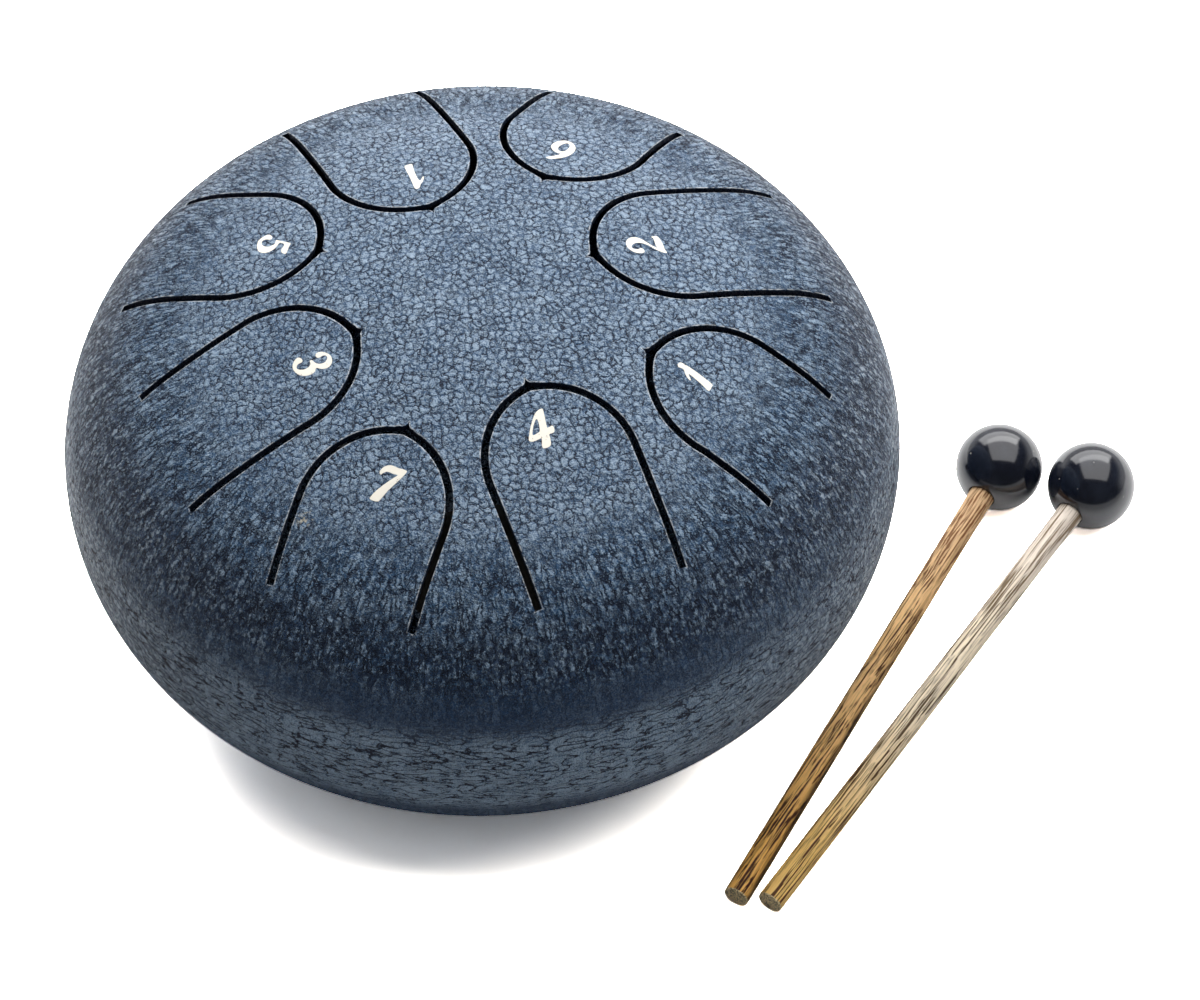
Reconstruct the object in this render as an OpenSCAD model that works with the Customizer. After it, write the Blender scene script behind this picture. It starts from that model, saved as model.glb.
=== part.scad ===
// Steel tongue drum with its two mallets. Two stamped half shells are welded together
// at the equator. Eight tongues are cut into the upper one; the lower one has a sound
// hole with a turned-in rim and stands on four rubber feet. Each mallet is a wooden
// stick pushed into a rubber ball, and both lie beside the drum on the table.
// Millimetres, +Z up. The origin is on the table, in the middle of the whole set's outline.

/* [Shells] */
// Diameter of the drum at its equator
drum_d = 155; // [150:0.5:165]
// Height of each half, from the equator to its crown
shell_rise = 43.5; // [40:0.5:50]
// Radius of the round shoulder that runs into the equator
shoulder_r = 34.6; // [30:0.1:37]
// Thickness of the steel
wall_t = 1.2; // [1:0.1:1.8]
// Gap between the lower crown and the table
floor_gap = 3.5; // [3:0.1:6]
// Radius of the weld's root bead, inside the seam
bead_r = 1.8; // [1.2:0.1:3]

/* [Tongues] */
// Width of the cut that frees each tongue
slot_w = 1.3; // [0.8:0.05:1.8]
// Distance from the equator's edge in to the closed ends of the cuts
slot_end_inset = 14.7; // [13:0.1:18]
// Length of the longest tongue, which sounds the lowest note
long_tongue_l = 40.1; // [37:0.1:42]
// How much each of the next three notes is shorter
long_tongue_step = 0.45; // [0:0.05:1]
// Length of the longest of the four short tongues
short_tongue_l = 31.3; // [29:0.1:34]
// How much each of the last three notes is shorter
short_tongue_step = 0.7; // [0:0.05:1]
// Steel left between a tongue's side cut and the line halfway to its neighbour
web_half = 1.4; // [1:0.1:3]
// Height of the small point where the two sides of a tongue's tip meet
cusp_r = 1; // [0.5:0.1:1.5]
// Direction of the first note's tongue, counted from +X
first_tongue_angle = 110.6; // [0:0.1:360]

/* [Sound hole] */
// Clear diameter of the hole in the lower crown
sound_hole_d = 34; // [28:0.5:40]
// Inside radius of the bend that turns the hole's rim inwards
rim_bend_r = 1.5; // [1:0.1:3]
// Straight height of the turned-in rim
rim_h = 1.2; // [0.5:0.1:3]

/* [Feet] */
// Distance of each foot's seat from the drum's axis
foot_ring_r = 38; // [34:0.5:44]
// Diameter of a foot at the shell
foot_top_d = 14; // [12:0.5:18]
// Diameter of a foot where its axis meets the table
foot_sole_d = 11.5; // [10:0.5:16]
// Rubber clamped between the shell and the washer
foot_clamp_t = 3.5; // [2.5:0.1:4]
// Diameter of the foot screws
screw_d = 3; // [2.5:0.1:3.5]
// Diameter of the screw's head
screw_head_d = 5.6; // [5:0.1:6.5]
// Height of the screw's head
screw_head_h = 2.2; // [1.6:0.1:2.6]
// Diameter of the washer in the foot
washer_d = 7; // [6.6:0.1:7.5]
// Thickness of the washer
washer_t = 0.5; // [0.4:0.1:1]
// Width of the nut across its flats
nut_af = 5.5; // [5:0.1:6.5]
// Height of the nut
nut_h = 2.4; // [1.8:0.1:3]
// Thread that stands out of the nut
thread_show = 0.4; // [0.2:0.1:2]

/* [Mallets] */
// Diameter of the rubber balls
ball_d = 17; // [15:0.1:18]
// Diameter of the wooden sticks
stick_d = 5; // [4:0.1:5.6]
// How far a stick reaches past the middle of its ball
socket_past = 3; // [0:0.1:5]
// Length of the left mallet, ball included
left_mallet_l = 119; // [100:0.5:150]
// Length of the right mallet, ball included
right_mallet_l = 122; // [100:0.5:150]
// Distance from the drum's side to the middle of the left ball, along X
left_ball_gap = 23; // [21:0.5:40]
// Distance of the left ball's middle behind the drum's axis
left_ball_y = 19.9; // [10:0.5:25]
// Gap between the two balls
ball_gap = 1.25; // [1:0.05:5]
// How far the right ball lies ahead of the left one, along the left stick
ball_lead = 4.3; // [0:0.1:10]
// Gap between the far ends of the sticks
stick_end_gap = 0.95; // [0.8:0.05:5]
// Direction from the left stick's far end to its ball, counted from +X
left_bearing = 58.7; // [56:0.1:62]

/* [Hidden] */
foot_count = 4;
first_foot_angle = 45;

// Note of each tongue, going clockwise from first_tongue_angle; 8 is the high first note.
note_order = [1, 6, 2, 8, 4, 7, 3, 5];
long_notes = 4;
note_pitch = 360 / len(note_order);
TONGUES = [0:len(note_order) - 1];
// The tip's arcs, as a share of the tongue's half width.
tip_arc_share = 1.143;

// Clearances and the overrun of all cuts.
overrun = 1;
side_cut_relief = 0.02;
bead_fit = 0.05;
foot_seat_gap = 0.05;
nut_seat_gap = 0.02;
bolt_clearance = 0.2;
washer_clearance = 0.2;
thread_fit = 0.03;
socket_fit = 0.02;

// Cross recess of the screws and the chamfer of the nuts.
recess_w = 0.8;
recess_l = 3.2;
recess_depth = 1.2;
nut_chamfer = 0.4;
stick_chamfer = 0.25;

// Overlap of the profile's two circles where they meet, and the crown circle's facets.
meet_lap = 0.5;
dome_facet_l = 3;
$fn = 120;

steel_blue = [0.17, 0.26, 0.36];
bare_steel = [0.62, 0.63, 0.65];
black_rubber = [0.06, 0.06, 0.07];
brown_wood = [0.55, 0.38, 0.2];
grey_wood = [0.66, 0.57, 0.45];

// The profile of a half: a big circle for the crown meets a small one for the shoulder.
drum_r = drum_d / 2;
shoulder_x = drum_r - shoulder_r;
dome_r = (pow(shoulder_x, 2) + pow(shell_rise, 2) - pow(shoulder_r, 2))
    / (2 * (shell_rise - shoulder_r));
dome_drop = dome_r - shell_rise;
meet_slope = shoulder_x / dome_drop;
equator_z = floor_gap + shell_rise;
// A larger crown circle gets more facets, so that they stay short.
dome_facets = 4 * ceil(PI * dome_r / (2 * dome_facet_l));

// The tongues, measured along their middle lines from the drum's axis.
root_x = drum_r - slot_end_inset;
function tongue_l(note) = note <= long_notes
    ? long_tongue_l - (note - 1) * long_tongue_step
    : short_tongue_l - (note - long_notes - 1) * short_tongue_step;
function tip_x(note) = root_x - tongue_l(note);
tip_rise_share = sqrt(pow(tip_arc_share, 2) - pow(tip_arc_share - 1, 2));
innermost_tip_x = min([for (note = note_order) tip_x(note)]);
half_pitch = note_pitch / 2;
// Widest half width that leaves web_half of steel at the foot of the innermost tip.
tongue_half_w = (innermost_tip_x * sin(half_pitch) - slot_w / 2 - web_half)
    / (cos(half_pitch) - tip_rise_share * sin(half_pitch));
tip_arc_r = tip_arc_share * tongue_half_w;
tip_arc_off = tip_arc_r - tongue_half_w;
tip_rise = tip_rise_share * tongue_half_w;
// The curved cuts run this far into the straight ones.
tip_cut_reach = slot_w / 4;

// The sound hole's rim: the middle of its bend lies inside the crown's circle.
hole_r = sound_hole_d / 2;
bend_x = hole_r + wall_t + rim_bend_r;
bend_reach = dome_r - wall_t - rim_bend_r;
bend_angle = asin(bend_x / bend_reach);
bend_y = bend_reach * cos(bend_angle) - dome_drop;
bend_far = 3 * (rim_bend_r + wall_t);

// Feet stand square to the shell, so their axes lean by foot_tilt.
foot_tilt = asin(foot_ring_r / dome_r);
function sag(radius, offset) = radius - sqrt(pow(radius, 2) - pow(offset, 2));
foot_axis_l = (floor_gap + sag(dome_r, foot_ring_r)) / cos(foot_tilt);
foot_reach = foot_axis_l + foot_top_d / 2 * tan(foot_tilt) + overrun;
foot_taper = (foot_top_d - foot_sole_d) / 2 / foot_axis_l;
foot_end_r = foot_top_d / 2 - foot_taper * foot_reach;
foot_rim_z = sag(dome_r, foot_top_d / 2) + overrun / 2;
nut_corner_r = nut_af / 2 / cos(30);
nut_z = wall_t + sag(dome_r - wall_t, nut_corner_r) + nut_seat_gap;
head_z = -foot_clamp_t - washer_t;
shank_top_z = nut_z + nut_h + thread_show;
shell_hole_d = screw_d + 2 * bolt_clearance;

// Where the mallets lie: the right one is placed along and across the left stick.
left_reach = left_mallet_l - ball_d / 2;
right_reach = right_mallet_l - ball_d / 2;
left_ball_x = drum_r + left_ball_gap;
ball_across = sqrt(pow(ball_d + ball_gap, 2) - pow(ball_lead, 2));
right_ball_x = left_ball_x + ball_lead * cos(left_bearing) + ball_across * sin(left_bearing);
right_ball_y = left_ball_y + ball_lead * sin(left_bearing) - ball_across * cos(left_bearing);
right_bearing = left_bearing - asin((ball_across - stick_d - stick_end_gap) / right_reach);

// The set's outline runs from the drum's side to the right ball's side.
set_middle_x = (right_ball_x + ball_d / 2 - drum_r) / 2;

FEET = [for (i = [1:foot_count]) i];

// Moves its children from the drum's axis to the frame of the whole set.
module in_set() {
    translate([-set_middle_x, 0, 0]) children();
}

// Everything of a half shell's profile that lies at least inset below its outer face,
// right of the axis and above the equator.
module half_section(inset) {
    far = drum_d;
    line_x = shoulder_x + far * meet_slope;
    lap_x = shoulder_x - meet_lap;
    intersection() {
        translate([0, -dome_drop]) circle(r = dome_r - inset, $fn = dome_facets);
        polygon([[0, 0], [0, far], [line_x, far], [shoulder_x, 0]]);
    }
    intersection() {
        translate([shoulder_x, 0]) circle(r = shoulder_r - inset);
        polygon([[lap_x, 0], [line_x - meet_lap, far], [line_x + far, far], [line_x + far, 0]]);
    }
}

module wall_section() {
    difference() {
        half_section(0);
        half_section(wall_t);
    }
}

// The wall, cut back to the bend of the sound hole's rim, and that rim.
module wall_section_with_rim() {
    far = drum_d;
    cut_x = dome_drop * tan(bend_angle);
    far_x = (dome_drop + far) * tan(bend_angle);
    intersection() {
        wall_section();
        polygon([[cut_x, 0], [far_x, far], [far_x + far, far], [far_x + far, 0]]);
    }
    translate([bend_x, bend_y]) {
        intersection() {
            difference() {
                circle(r = rim_bend_r + wall_t);
                circle(r = rim_bend_r);
            }
            polygon([
                [0, 0],
                [bend_far * sin(bend_angle), bend_far * cos(bend_angle)],
                [-bend_far, bend_far],
                [-bend_far, 0]
            ]);
        }
    }
    translate([hole_r, bend_y - rim_h]) square([wall_t, rim_h]);
}

// The arched cut round a tongue's tip: two arcs that meet in a point.
module tip_cut(note) {
    spring_x = tip_x(note) + tip_rise;
    for (side = [-1, 1]) {
        intersection() {
            translate([spring_x, -side * tip_arc_off]) {
                difference() {
                    circle(r = tip_arc_r + slot_w / 2);
                    circle(r = tip_arc_r - slot_w / 2);
                }
            }
            translate([spring_x - 2 * tip_arc_r, (side - 1) * tip_arc_r])
                square([2 * tip_arc_r + tip_cut_reach, 2 * tip_arc_r]);
        }
    }
}

// The two straight cuts along a tongue's sides, a hair wider than the curved ones.
module side_cuts(note) {
    spring_x = tip_x(note) + tip_rise;
    cut_w = slot_w + 2 * side_cut_relief;
    for (side = [-1, 1]) {
        translate([spring_x, side * tongue_half_w - cut_w / 2])
            square([root_x - spring_x, cut_w]);
    }
}

// The small hollow-sided point at the very tip of a cut.
module tip_cusp(note) {
    edge_x = tip_x(note) + tip_rise
        - sqrt(pow(tip_arc_r + slot_w / 2, 2) - pow(tip_arc_off, 2));
    difference() {
        translate([edge_x - cusp_r, -cusp_r]) square([cusp_r + slot_w / 2, 2 * cusp_r]);
        for (side = [-1, 1]) {
            translate([edge_x - cusp_r, side * cusp_r]) circle(r = cusp_r);
        }
    }
}

// Draws its children at tongue i, upright through the whole height of the shell.
module through_shell(i) {
    rotate([0, 0, first_tongue_angle - i * note_pitch])
        linear_extrude(height = shell_rise + overrun)
        children();
}

// The cuts are made in two steps, because the arcs run smoothly into the straight sides.
module top_shell() {
    color(steel_blue)
    translate([0, 0, equator_z])
    difference() {
        difference() {
            rotate_extrude() wall_section();
            for (i = TONGUES) through_shell(i) tip_cut(note_order[i]);
        }
        for (i = TONGUES) {
            through_shell(i) side_cuts(note_order[i]);
            through_shell(i) tip_cusp(note_order[i]);
        }
    }
}

module bottom_shell() {
    color(steel_blue)
    difference() {
        translate([0, 0, equator_z])
            mirror([0, 0, 1]) rotate_extrude() wall_section_with_rim();
        for (i = FEET) {
            at_foot(i) translate([0, 0, -overrun]) cylinder(h = wall_t + 2 * overrun, d = shell_hole_d);
        }
    }
}

// Root of the weld: a rounded bead that fills the corner inside the seam.
module seam_weld() {
    color(bare_steel)
    translate([0, 0, equator_z])
    rotate_extrude()
    intersection() {
        translate([drum_r - wall_t, 0]) circle(r = bead_r);
        translate([shoulder_x, 0]) circle(r = shoulder_r - wall_t - bead_fit);
    }
}

// Places its children at a foot: origin on the lower shell's outer face, +Z into the drum.
module at_foot(i) {
    rotate([0, 0, first_foot_angle + (i - 1) * 360 / foot_count])
        translate([0, 0, equator_z + dome_drop])
        rotate([0, -foot_tilt, 0])
        translate([0, 0, -dome_r])
        children();
}

// The round of the lower shell, with the seat's gap, as far as a foot reaches.
module seat_section() {
    intersection() {
        translate([0, dome_r]) circle(r = dome_r + foot_seat_gap, $fn = dome_facets);
        translate([0, -overrun]) square([foot_top_d, foot_rim_z + 2 * overrun]);
    }
}

// Rubber foot: a cone that fits the shell above and is cut level with the table below.
module foot(i) {
    color(black_rubber)
    difference() {
        at_foot(i)
        difference() {
            union() {
                translate([0, 0, -foot_reach])
                    cylinder(h = foot_reach, r1 = foot_end_r, r2 = foot_top_d / 2);
                cylinder(h = foot_rim_z, d = foot_top_d);
            }
            rotate_extrude() seat_section();
            translate([0, 0, -foot_reach]) cylinder(h = 2 * foot_reach, d = shell_hole_d);
            translate([0, 0, -foot_clamp_t - 2 * foot_reach])
                cylinder(h = 2 * foot_reach, d = washer_d + 2 * washer_clearance);
        }
        translate([-drum_d, -drum_d, -drum_d]) cube([2 * drum_d, 2 * drum_d, drum_d]);
    }
}

module foot_washer(i) {
    color(bare_steel)
    at_foot(i)
    translate([0, 0, head_z])
    difference() {
        cylinder(h = washer_t, d = washer_d);
        translate([0, 0, -overrun]) cylinder(h = washer_t + 2 * overrun, d = shell_hole_d);
    }
}

// Pan-head screw, driven from below through the foot.
module foot_screw(i) {
    crown_r = screw_head_d / 2 + screw_head_h / 2;
    color(bare_steel)
    at_foot(i)
    difference() {
        union() {
            translate([0, 0, head_z]) cylinder(h = shank_top_z - head_z, d = screw_d);
            intersection() {
                translate([0, 0, head_z - screw_head_h]) cylinder(h = screw_head_h, d = screw_head_d);
                translate([0, 0, head_z - screw_head_h + crown_r]) sphere(r = crown_r);
            }
        }
        for (turn = [0, 90]) {
            rotate([0, 0, turn])
                translate([-recess_l / 2, -recess_w / 2, head_z - screw_head_h - overrun])
                cube([recess_l, recess_w, recess_depth + overrun]);
        }
    }
}

// Hexagon nut inside the drum, with its upper corners turned down.
module foot_nut(i) {
    color(bare_steel)
    at_foot(i)
    translate([0, 0, nut_z])
    difference() {
        intersection() {
            cylinder(h = nut_h, r = nut_corner_r, $fn = 6);
            cylinder(h = nut_h, r1 = nut_corner_r + nut_h - nut_chamfer, r2 = nut_corner_r - nut_chamfer);
        }
        translate([0, 0, -overrun]) cylinder(h = nut_h + 2 * overrun, d = screw_d + 2 * thread_fit);
    }
}

// Places its children at a mallet: origin in the ball, the stick running off along -X
// and down until the rim of its end touches the table.
module at_mallet(x, y, bearing, reach) {
    slope = asin((ball_d / 2) / norm([reach, stick_d / 2])) - atan2(stick_d / 2, reach);
    translate([x, y, ball_d / 2])
        rotate([0, 0, bearing])
        rotate([0, -slope, 0])
        children();
}

module at_left_mallet() {
    at_mallet(left_ball_x, left_ball_y, left_bearing, left_reach) children();
}

module at_right_mallet() {
    at_mallet(right_ball_x, right_ball_y, right_bearing, right_reach) children();
}

// Round stick along X, with both ends slightly chamfered.
module dowel(reach) {
    stick_l = reach + socket_past;
    tip_d = stick_d - 2 * stick_chamfer;
    translate([-reach, 0, 0])
    rotate([0, 90, 0]) {
        cylinder(h = stick_chamfer, d1 = tip_d, d2 = stick_d);
        translate([0, 0, stick_chamfer]) cylinder(h = stick_l - 2 * stick_chamfer, d = stick_d);
        translate([0, 0, stick_l - stick_chamfer]) cylinder(h = stick_chamfer, d1 = stick_d, d2 = tip_d);
    }
}

// Rubber ball with the blind socket that grips the stick.
module ball() {
    difference() {
        sphere(d = ball_d);
        translate([-ball_d, 0, 0])
            rotate([0, 90, 0])
            cylinder(h = ball_d + socket_past + socket_fit, d = stick_d + 2 * socket_fit);
    }
}

module mallet_stick_left() {
    color(brown_wood) at_left_mallet() dowel(left_reach);
}

module mallet_head_left() {
    color(black_rubber) at_left_mallet() ball();
}

module mallet_stick_right() {
    color(grey_wood) at_right_mallet() dowel(right_reach);
}

module mallet_head_right() {
    color(black_rubber) at_right_mallet() ball();
}

in_set() top_shell();
in_set() bottom_shell();
in_set() seam_weld();
for (i = FEET) {
    in_set() foot(i);
    in_set() foot_washer(i);
    in_set() foot_screw(i);
    in_set() foot_nut(i);
}
in_set() mallet_stick_left();
in_set() mallet_head_left();
in_set() mallet_stick_right();
in_set() mallet_head_right();
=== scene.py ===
"""Studio picture of a steel tongue drum and its two mallets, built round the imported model."""

import logging
import math
from dataclasses import dataclass, field
from enum import Enum
from typing import Callable, Sequence

import bmesh
import bpy
import numpy as np
from mathutils import Euler, Matrix, Vector
from mathutils.geometry import delaunay_2d_cdt


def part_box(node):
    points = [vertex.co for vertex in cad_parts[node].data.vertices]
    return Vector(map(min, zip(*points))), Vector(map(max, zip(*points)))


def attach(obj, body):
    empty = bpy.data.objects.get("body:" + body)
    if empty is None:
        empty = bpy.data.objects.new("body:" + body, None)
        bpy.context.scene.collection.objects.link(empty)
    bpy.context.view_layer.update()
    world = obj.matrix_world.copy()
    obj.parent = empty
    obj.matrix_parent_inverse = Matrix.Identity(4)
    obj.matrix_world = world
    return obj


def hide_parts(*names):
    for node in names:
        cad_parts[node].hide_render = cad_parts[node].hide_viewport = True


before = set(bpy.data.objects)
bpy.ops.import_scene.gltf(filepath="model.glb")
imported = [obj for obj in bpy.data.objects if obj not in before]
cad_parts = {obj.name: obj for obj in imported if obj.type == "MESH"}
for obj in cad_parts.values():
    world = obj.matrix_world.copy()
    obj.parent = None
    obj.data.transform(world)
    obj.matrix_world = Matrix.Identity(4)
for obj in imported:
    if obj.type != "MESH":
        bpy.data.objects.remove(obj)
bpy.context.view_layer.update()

log = logging.getLogger("tongue_drum")

MM = 0.001
NEARLY_NONE = 1e-9
SHARP_ANGLE = math.radians(35)

Point = tuple[float, float]
Colour = tuple[float, float, float]
Socket = bpy.types.NodeSocket
Faces = list[tuple[int, ...]]


class Half(Enum):
    """The two stamped halves of the drum."""

    UPPER = "top_shell"
    LOWER = "bottom_shell"


class Side(Enum):
    """The two mallets, by where they lie on the table."""

    LEFT = "left"
    RIGHT = "right"


class Numeral(Enum):
    """Each tongue's numeral, in the order in which they go clockwise round the drum."""

    LOW_ONE = "1"
    SIX = "6"
    TWO = "2"
    HIGH_ONE = "8"
    FOUR = "4"
    SEVEN = "7"
    THREE = "3"
    FIVE = "5"


# Node trees


class NodeBench:
    """Adds nodes to a tree, one short call for each."""

    def __init__(self, tree: bpy.types.NodeTree) -> None:
        """Takes the tree to build in."""
        self.tree = tree

    def node(self, kind: str, settings: dict | None = None, **inputs: object) -> bpy.types.Node:
        """Adds one node.

        Args:
            kind: the node's type name.
            settings: values of the node's own properties.
            inputs: values or sockets by input name, with underscores for spaces.

        Returns:
            The new node.
        """
        made = self.tree.nodes.new(kind)
        for name, value in (settings or {}).items():
            setattr(made, name, value)
        for name, value in inputs.items():
            self.feed(made.inputs[name.replace("_", " ")], value)
        return made

    def feed(self, socket: Socket, value: object) -> None:
        """Links a socket to another one, or sets its value."""
        if isinstance(value, bpy.types.NodeSocket):
            self.tree.links.new(value, socket)
        else:
            socket.default_value = value

    def math(self, operation: str, a: object, b: object = 0.0) -> Socket:
        """Adds a Math node and returns its result."""
        made = self.node("ShaderNodeMath", {"operation": operation})
        for socket, value in zip(made.inputs, (a, b)):
            self.feed(socket, value)
        return made.outputs[0]

    def times(self, first: object, *others: object) -> Socket:
        """Multiplies numbers."""
        for other in others:
            first = self.math("MULTIPLY", first, other)
        return first

    def plus(self, first: object, *others: object) -> Socket:
        """Adds numbers."""
        for other in others:
            first = self.math("ADD", first, other)
        return first

    def rest(self, value: object) -> Socket:
        """Gives what is missing from a number to 1."""
        return self.math("SUBTRACT", 1.0, value)

    def vector(self, operation: str, a: object, b: object = (0.0, 0.0, 0.0)) -> Socket:
        """Adds a Vector Math node and returns its vector, or its number for LENGTH."""
        made = self.node("ShaderNodeVectorMath", {"operation": operation})
        self.feed(made.inputs[0], a)
        if operation == "SCALE":
            self.feed(made.inputs["Scale"], b)
        elif operation not in ("LENGTH", "NORMALIZE"):
            self.feed(made.inputs[1], b)
        return made.outputs["Value" if operation == "LENGTH" else "Vector"]

    def join(self, x: object = 0.0, y: object = 0.0, z: object = 0.0) -> Socket:
        """Joins three numbers to a vector."""
        return self.node("ShaderNodeCombineXYZ", X=x, Y=y, Z=z).outputs["Vector"]

    def split(self, place: Socket) -> list[Socket]:
        """Splits a vector into its three numbers."""
        return list(self.node("ShaderNodeSeparateXYZ", Vector=place).outputs)

    def step(
        self, value: object, low: float, high: float, start: float = 0.0, end: float = 1.0
    ) -> Socket:
        """Goes smoothly from start to end as the value goes from low to high."""
        made = self.node(
            "ShaderNodeMapRange",
            {"interpolation_type": "SMOOTHSTEP"},
            Value=value,
            From_Min=low,
            From_Max=high,
            To_Min=start,
            To_Max=end,
        )
        return made.outputs["Result"]

    def blend(self, share: object, a: object, b: object) -> Socket:
        """Goes from one number to another as the share goes from 0 to 1."""
        return self.plus(a, self.times(self.math("SUBTRACT", b, a), share))

    def mix(self, share: object, a: object, b: object) -> Socket:
        """Mixes two colours."""
        made = self.node("ShaderNodeMix", {"data_type": "RGBA"})
        self.feed(made.inputs["Factor"], share)
        for name, value in (("A", a), ("B", b)):
            socket = [s for s in made.inputs if s.name == name and s.type == "RGBA"][0]
            self.feed(socket, (*value, 1.0) if isinstance(value, tuple) else value)
        return [s for s in made.outputs if s.type == "RGBA"][0]

    def noise(
        self, place: object, scale: float, detail: float = 2.0, roughness: float = 0.5
    ) -> Socket:
        """Adds a noise texture and returns its value."""
        made = self.node(
            "ShaderNodeTexNoise", Vector=place, Scale=scale, Detail=detail, Roughness=roughness
        )
        return made.outputs["Fac"]

    def sway(self, place: object, scale: float, reach: float) -> Socket:
        """Gives a smooth random shift of up to about half the reach."""
        made = self.node("ShaderNodeTexNoise", Vector=place, Scale=scale, Detail=1.0)
        centred = self.vector("SUBTRACT", made.outputs["Color"], (0.5, 0.5, 0.5))
        return self.vector("SCALE", centred, reach)

    def sways(self, place: object, first: Point, *others: Point) -> Socket:
        """Adds up random shifts, each given by its scale and its reach."""
        total = self.sway(place, *first)
        for other in others:
            total = self.vector("ADD", total, self.sway(place, *other))
        return total

    def cells(self, place: object, scale: float, flat: bool = False) -> Socket:
        """Adds a Voronoi texture and returns the distance to a cell's edge, in cells."""
        settings = {
            "feature": "DISTANCE_TO_EDGE",
            "voronoi_dimensions": "2D" if flat else "3D",
        }
        made = self.node("ShaderNodeTexVoronoi", settings, Vector=place, Scale=scale)
        return made.outputs["Distance"]


class Finish:
    """A material under construction: its bench, its shader and the places on the surface."""

    def __init__(self, name: str) -> None:
        """Starts the material."""
        self.material = bpy.data.materials.new(name)
        self.material.use_nodes = True
        self.bench = NodeBench(self.material.node_tree)
        self.shader = self.material.node_tree.nodes["Principled BSDF"]
        self.place = self.bench.node("ShaderNodeTexCoord").outputs["Object"]

    def set(self, name: str, value: object) -> None:
        """Sets or links one of the shader's inputs."""
        self.bench.feed(self.shader.inputs[name], value)

    def relief(self, height: Socket, distance: float, strength: float = 1.0) -> None:
        """Gives the surface its relief."""
        bump = self.bench.node(
            "ShaderNodeBump", Strength=strength, Distance=distance, Height=height
        )
        self.set("Normal", bump.outputs["Normal"])


class GrowthTree:
    """A geometry tree with named inputs, and what it takes to make plain meshes with it."""

    KINDS = {int: "NodeSocketInt", float: "NodeSocketFloat", tuple: "NodeSocketVector"}

    def __init__(self, name: str) -> None:
        """Starts the tree, with inputs for the mesh it starts from and the finish."""
        self.name = name
        self.tree = bpy.data.node_groups.new(name, "GeometryNodeTree")
        interface = self.tree.interface
        for way in ("INPUT", "OUTPUT"):
            interface.new_socket(name="Geometry", in_out=way, socket_type="NodeSocketGeometry")
        interface.new_socket(name="Finish", in_out="INPUT", socket_type="NodeSocketMaterial")
        self.inlet = self.tree.nodes.new("NodeGroupInput")
        self.outlet = self.tree.nodes.new("NodeGroupOutput")
        self.bench = NodeBench(self.tree)
        self.sizes: dict[str, object] = {}

    def size(self, name: str, value: object) -> Socket:
        """Adds a named input and returns it."""
        kind = self.KINDS[type(value)]
        self.tree.interface.new_socket(name=name, in_out="INPUT", socket_type=kind)
        self.sizes[name] = value
        return self.inlet.outputs[name]

    def close(self, geometry: Socket) -> None:
        """Ends the tree: instances become real, and get their finish."""
        real = self.bench.node("GeometryNodeRealizeInstances", Geometry=geometry)
        dressed = self.bench.node(
            "GeometryNodeSetMaterial",
            Geometry=real.outputs["Geometry"],
            Material=self.inlet.outputs["Finish"],
        )
        self.bench.feed(self.outlet.inputs["Geometry"], dressed.outputs["Geometry"])

    def grow(
        self, name: str, start: bpy.types.Mesh, finish: bpy.types.Material
    ) -> bpy.types.Object:
        """Runs the tree on a mesh.

        Args:
            name: the piece's name.
            start: the mesh that the tree starts from.
            finish: the piece's material.

        Returns:
            An object whose mesh is the result, without a modifier.
        """
        piece = bpy.data.objects.new(name, start)
        bpy.context.scene.collection.objects.link(piece)
        modifier = piece.modifiers.new(self.name, "NODES")
        modifier.node_group = self.tree
        for item in self.tree.interface.items_tree:
            if item.item_type == "SOCKET" and item.in_out == "INPUT":
                value = finish if item.name == "Finish" else self.sizes.get(item.name)
                if value is not None:
                    modifier[item.identifier] = value
        seen = piece.evaluated_get(bpy.context.evaluated_depsgraph_get())
        mesh = bpy.data.meshes.new_from_object(seen)
        piece.modifiers.clear()
        mesh.materials.clear()
        mesh.materials.append(finish)
        mesh.polygons.foreach_set("material_index", np.zeros(len(mesh.polygons), np.int32))
        mesh.name = name
        piece.data = mesh
        point_outwards(mesh)
        return piece


# Finishes


@dataclass(frozen=True)
class PaintZones:
    """Where each kind of crackle lies on the drum, as numbers from 0 to 1."""

    shoulder: Socket
    # The drum's left and right sides, where the flakes reach further and get painted highlights.
    flank: Socket
    flakes: Socket
    # The band below the flakes, where the cracks calm and shade is painted.
    band: Socket
    side: Socket

    def pick(self, bench: NodeBench, crown: object, shoulder: object, side: object) -> Socket:
        """Takes one value on the crown, one on the shoulder and one on the side."""
        return bench.blend(self.side, bench.blend(self.shoulder, crown, shoulder), side)


@dataclass(frozen=True)
class PaintPatterns:
    """The paint's patterns, as numbers from 0 to 1."""

    cracks: Socket
    puff: Socket
    lumps: Socket
    flakes: Socket
    grain: Socket
    blotch: Socket
    broad: Socket


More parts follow.
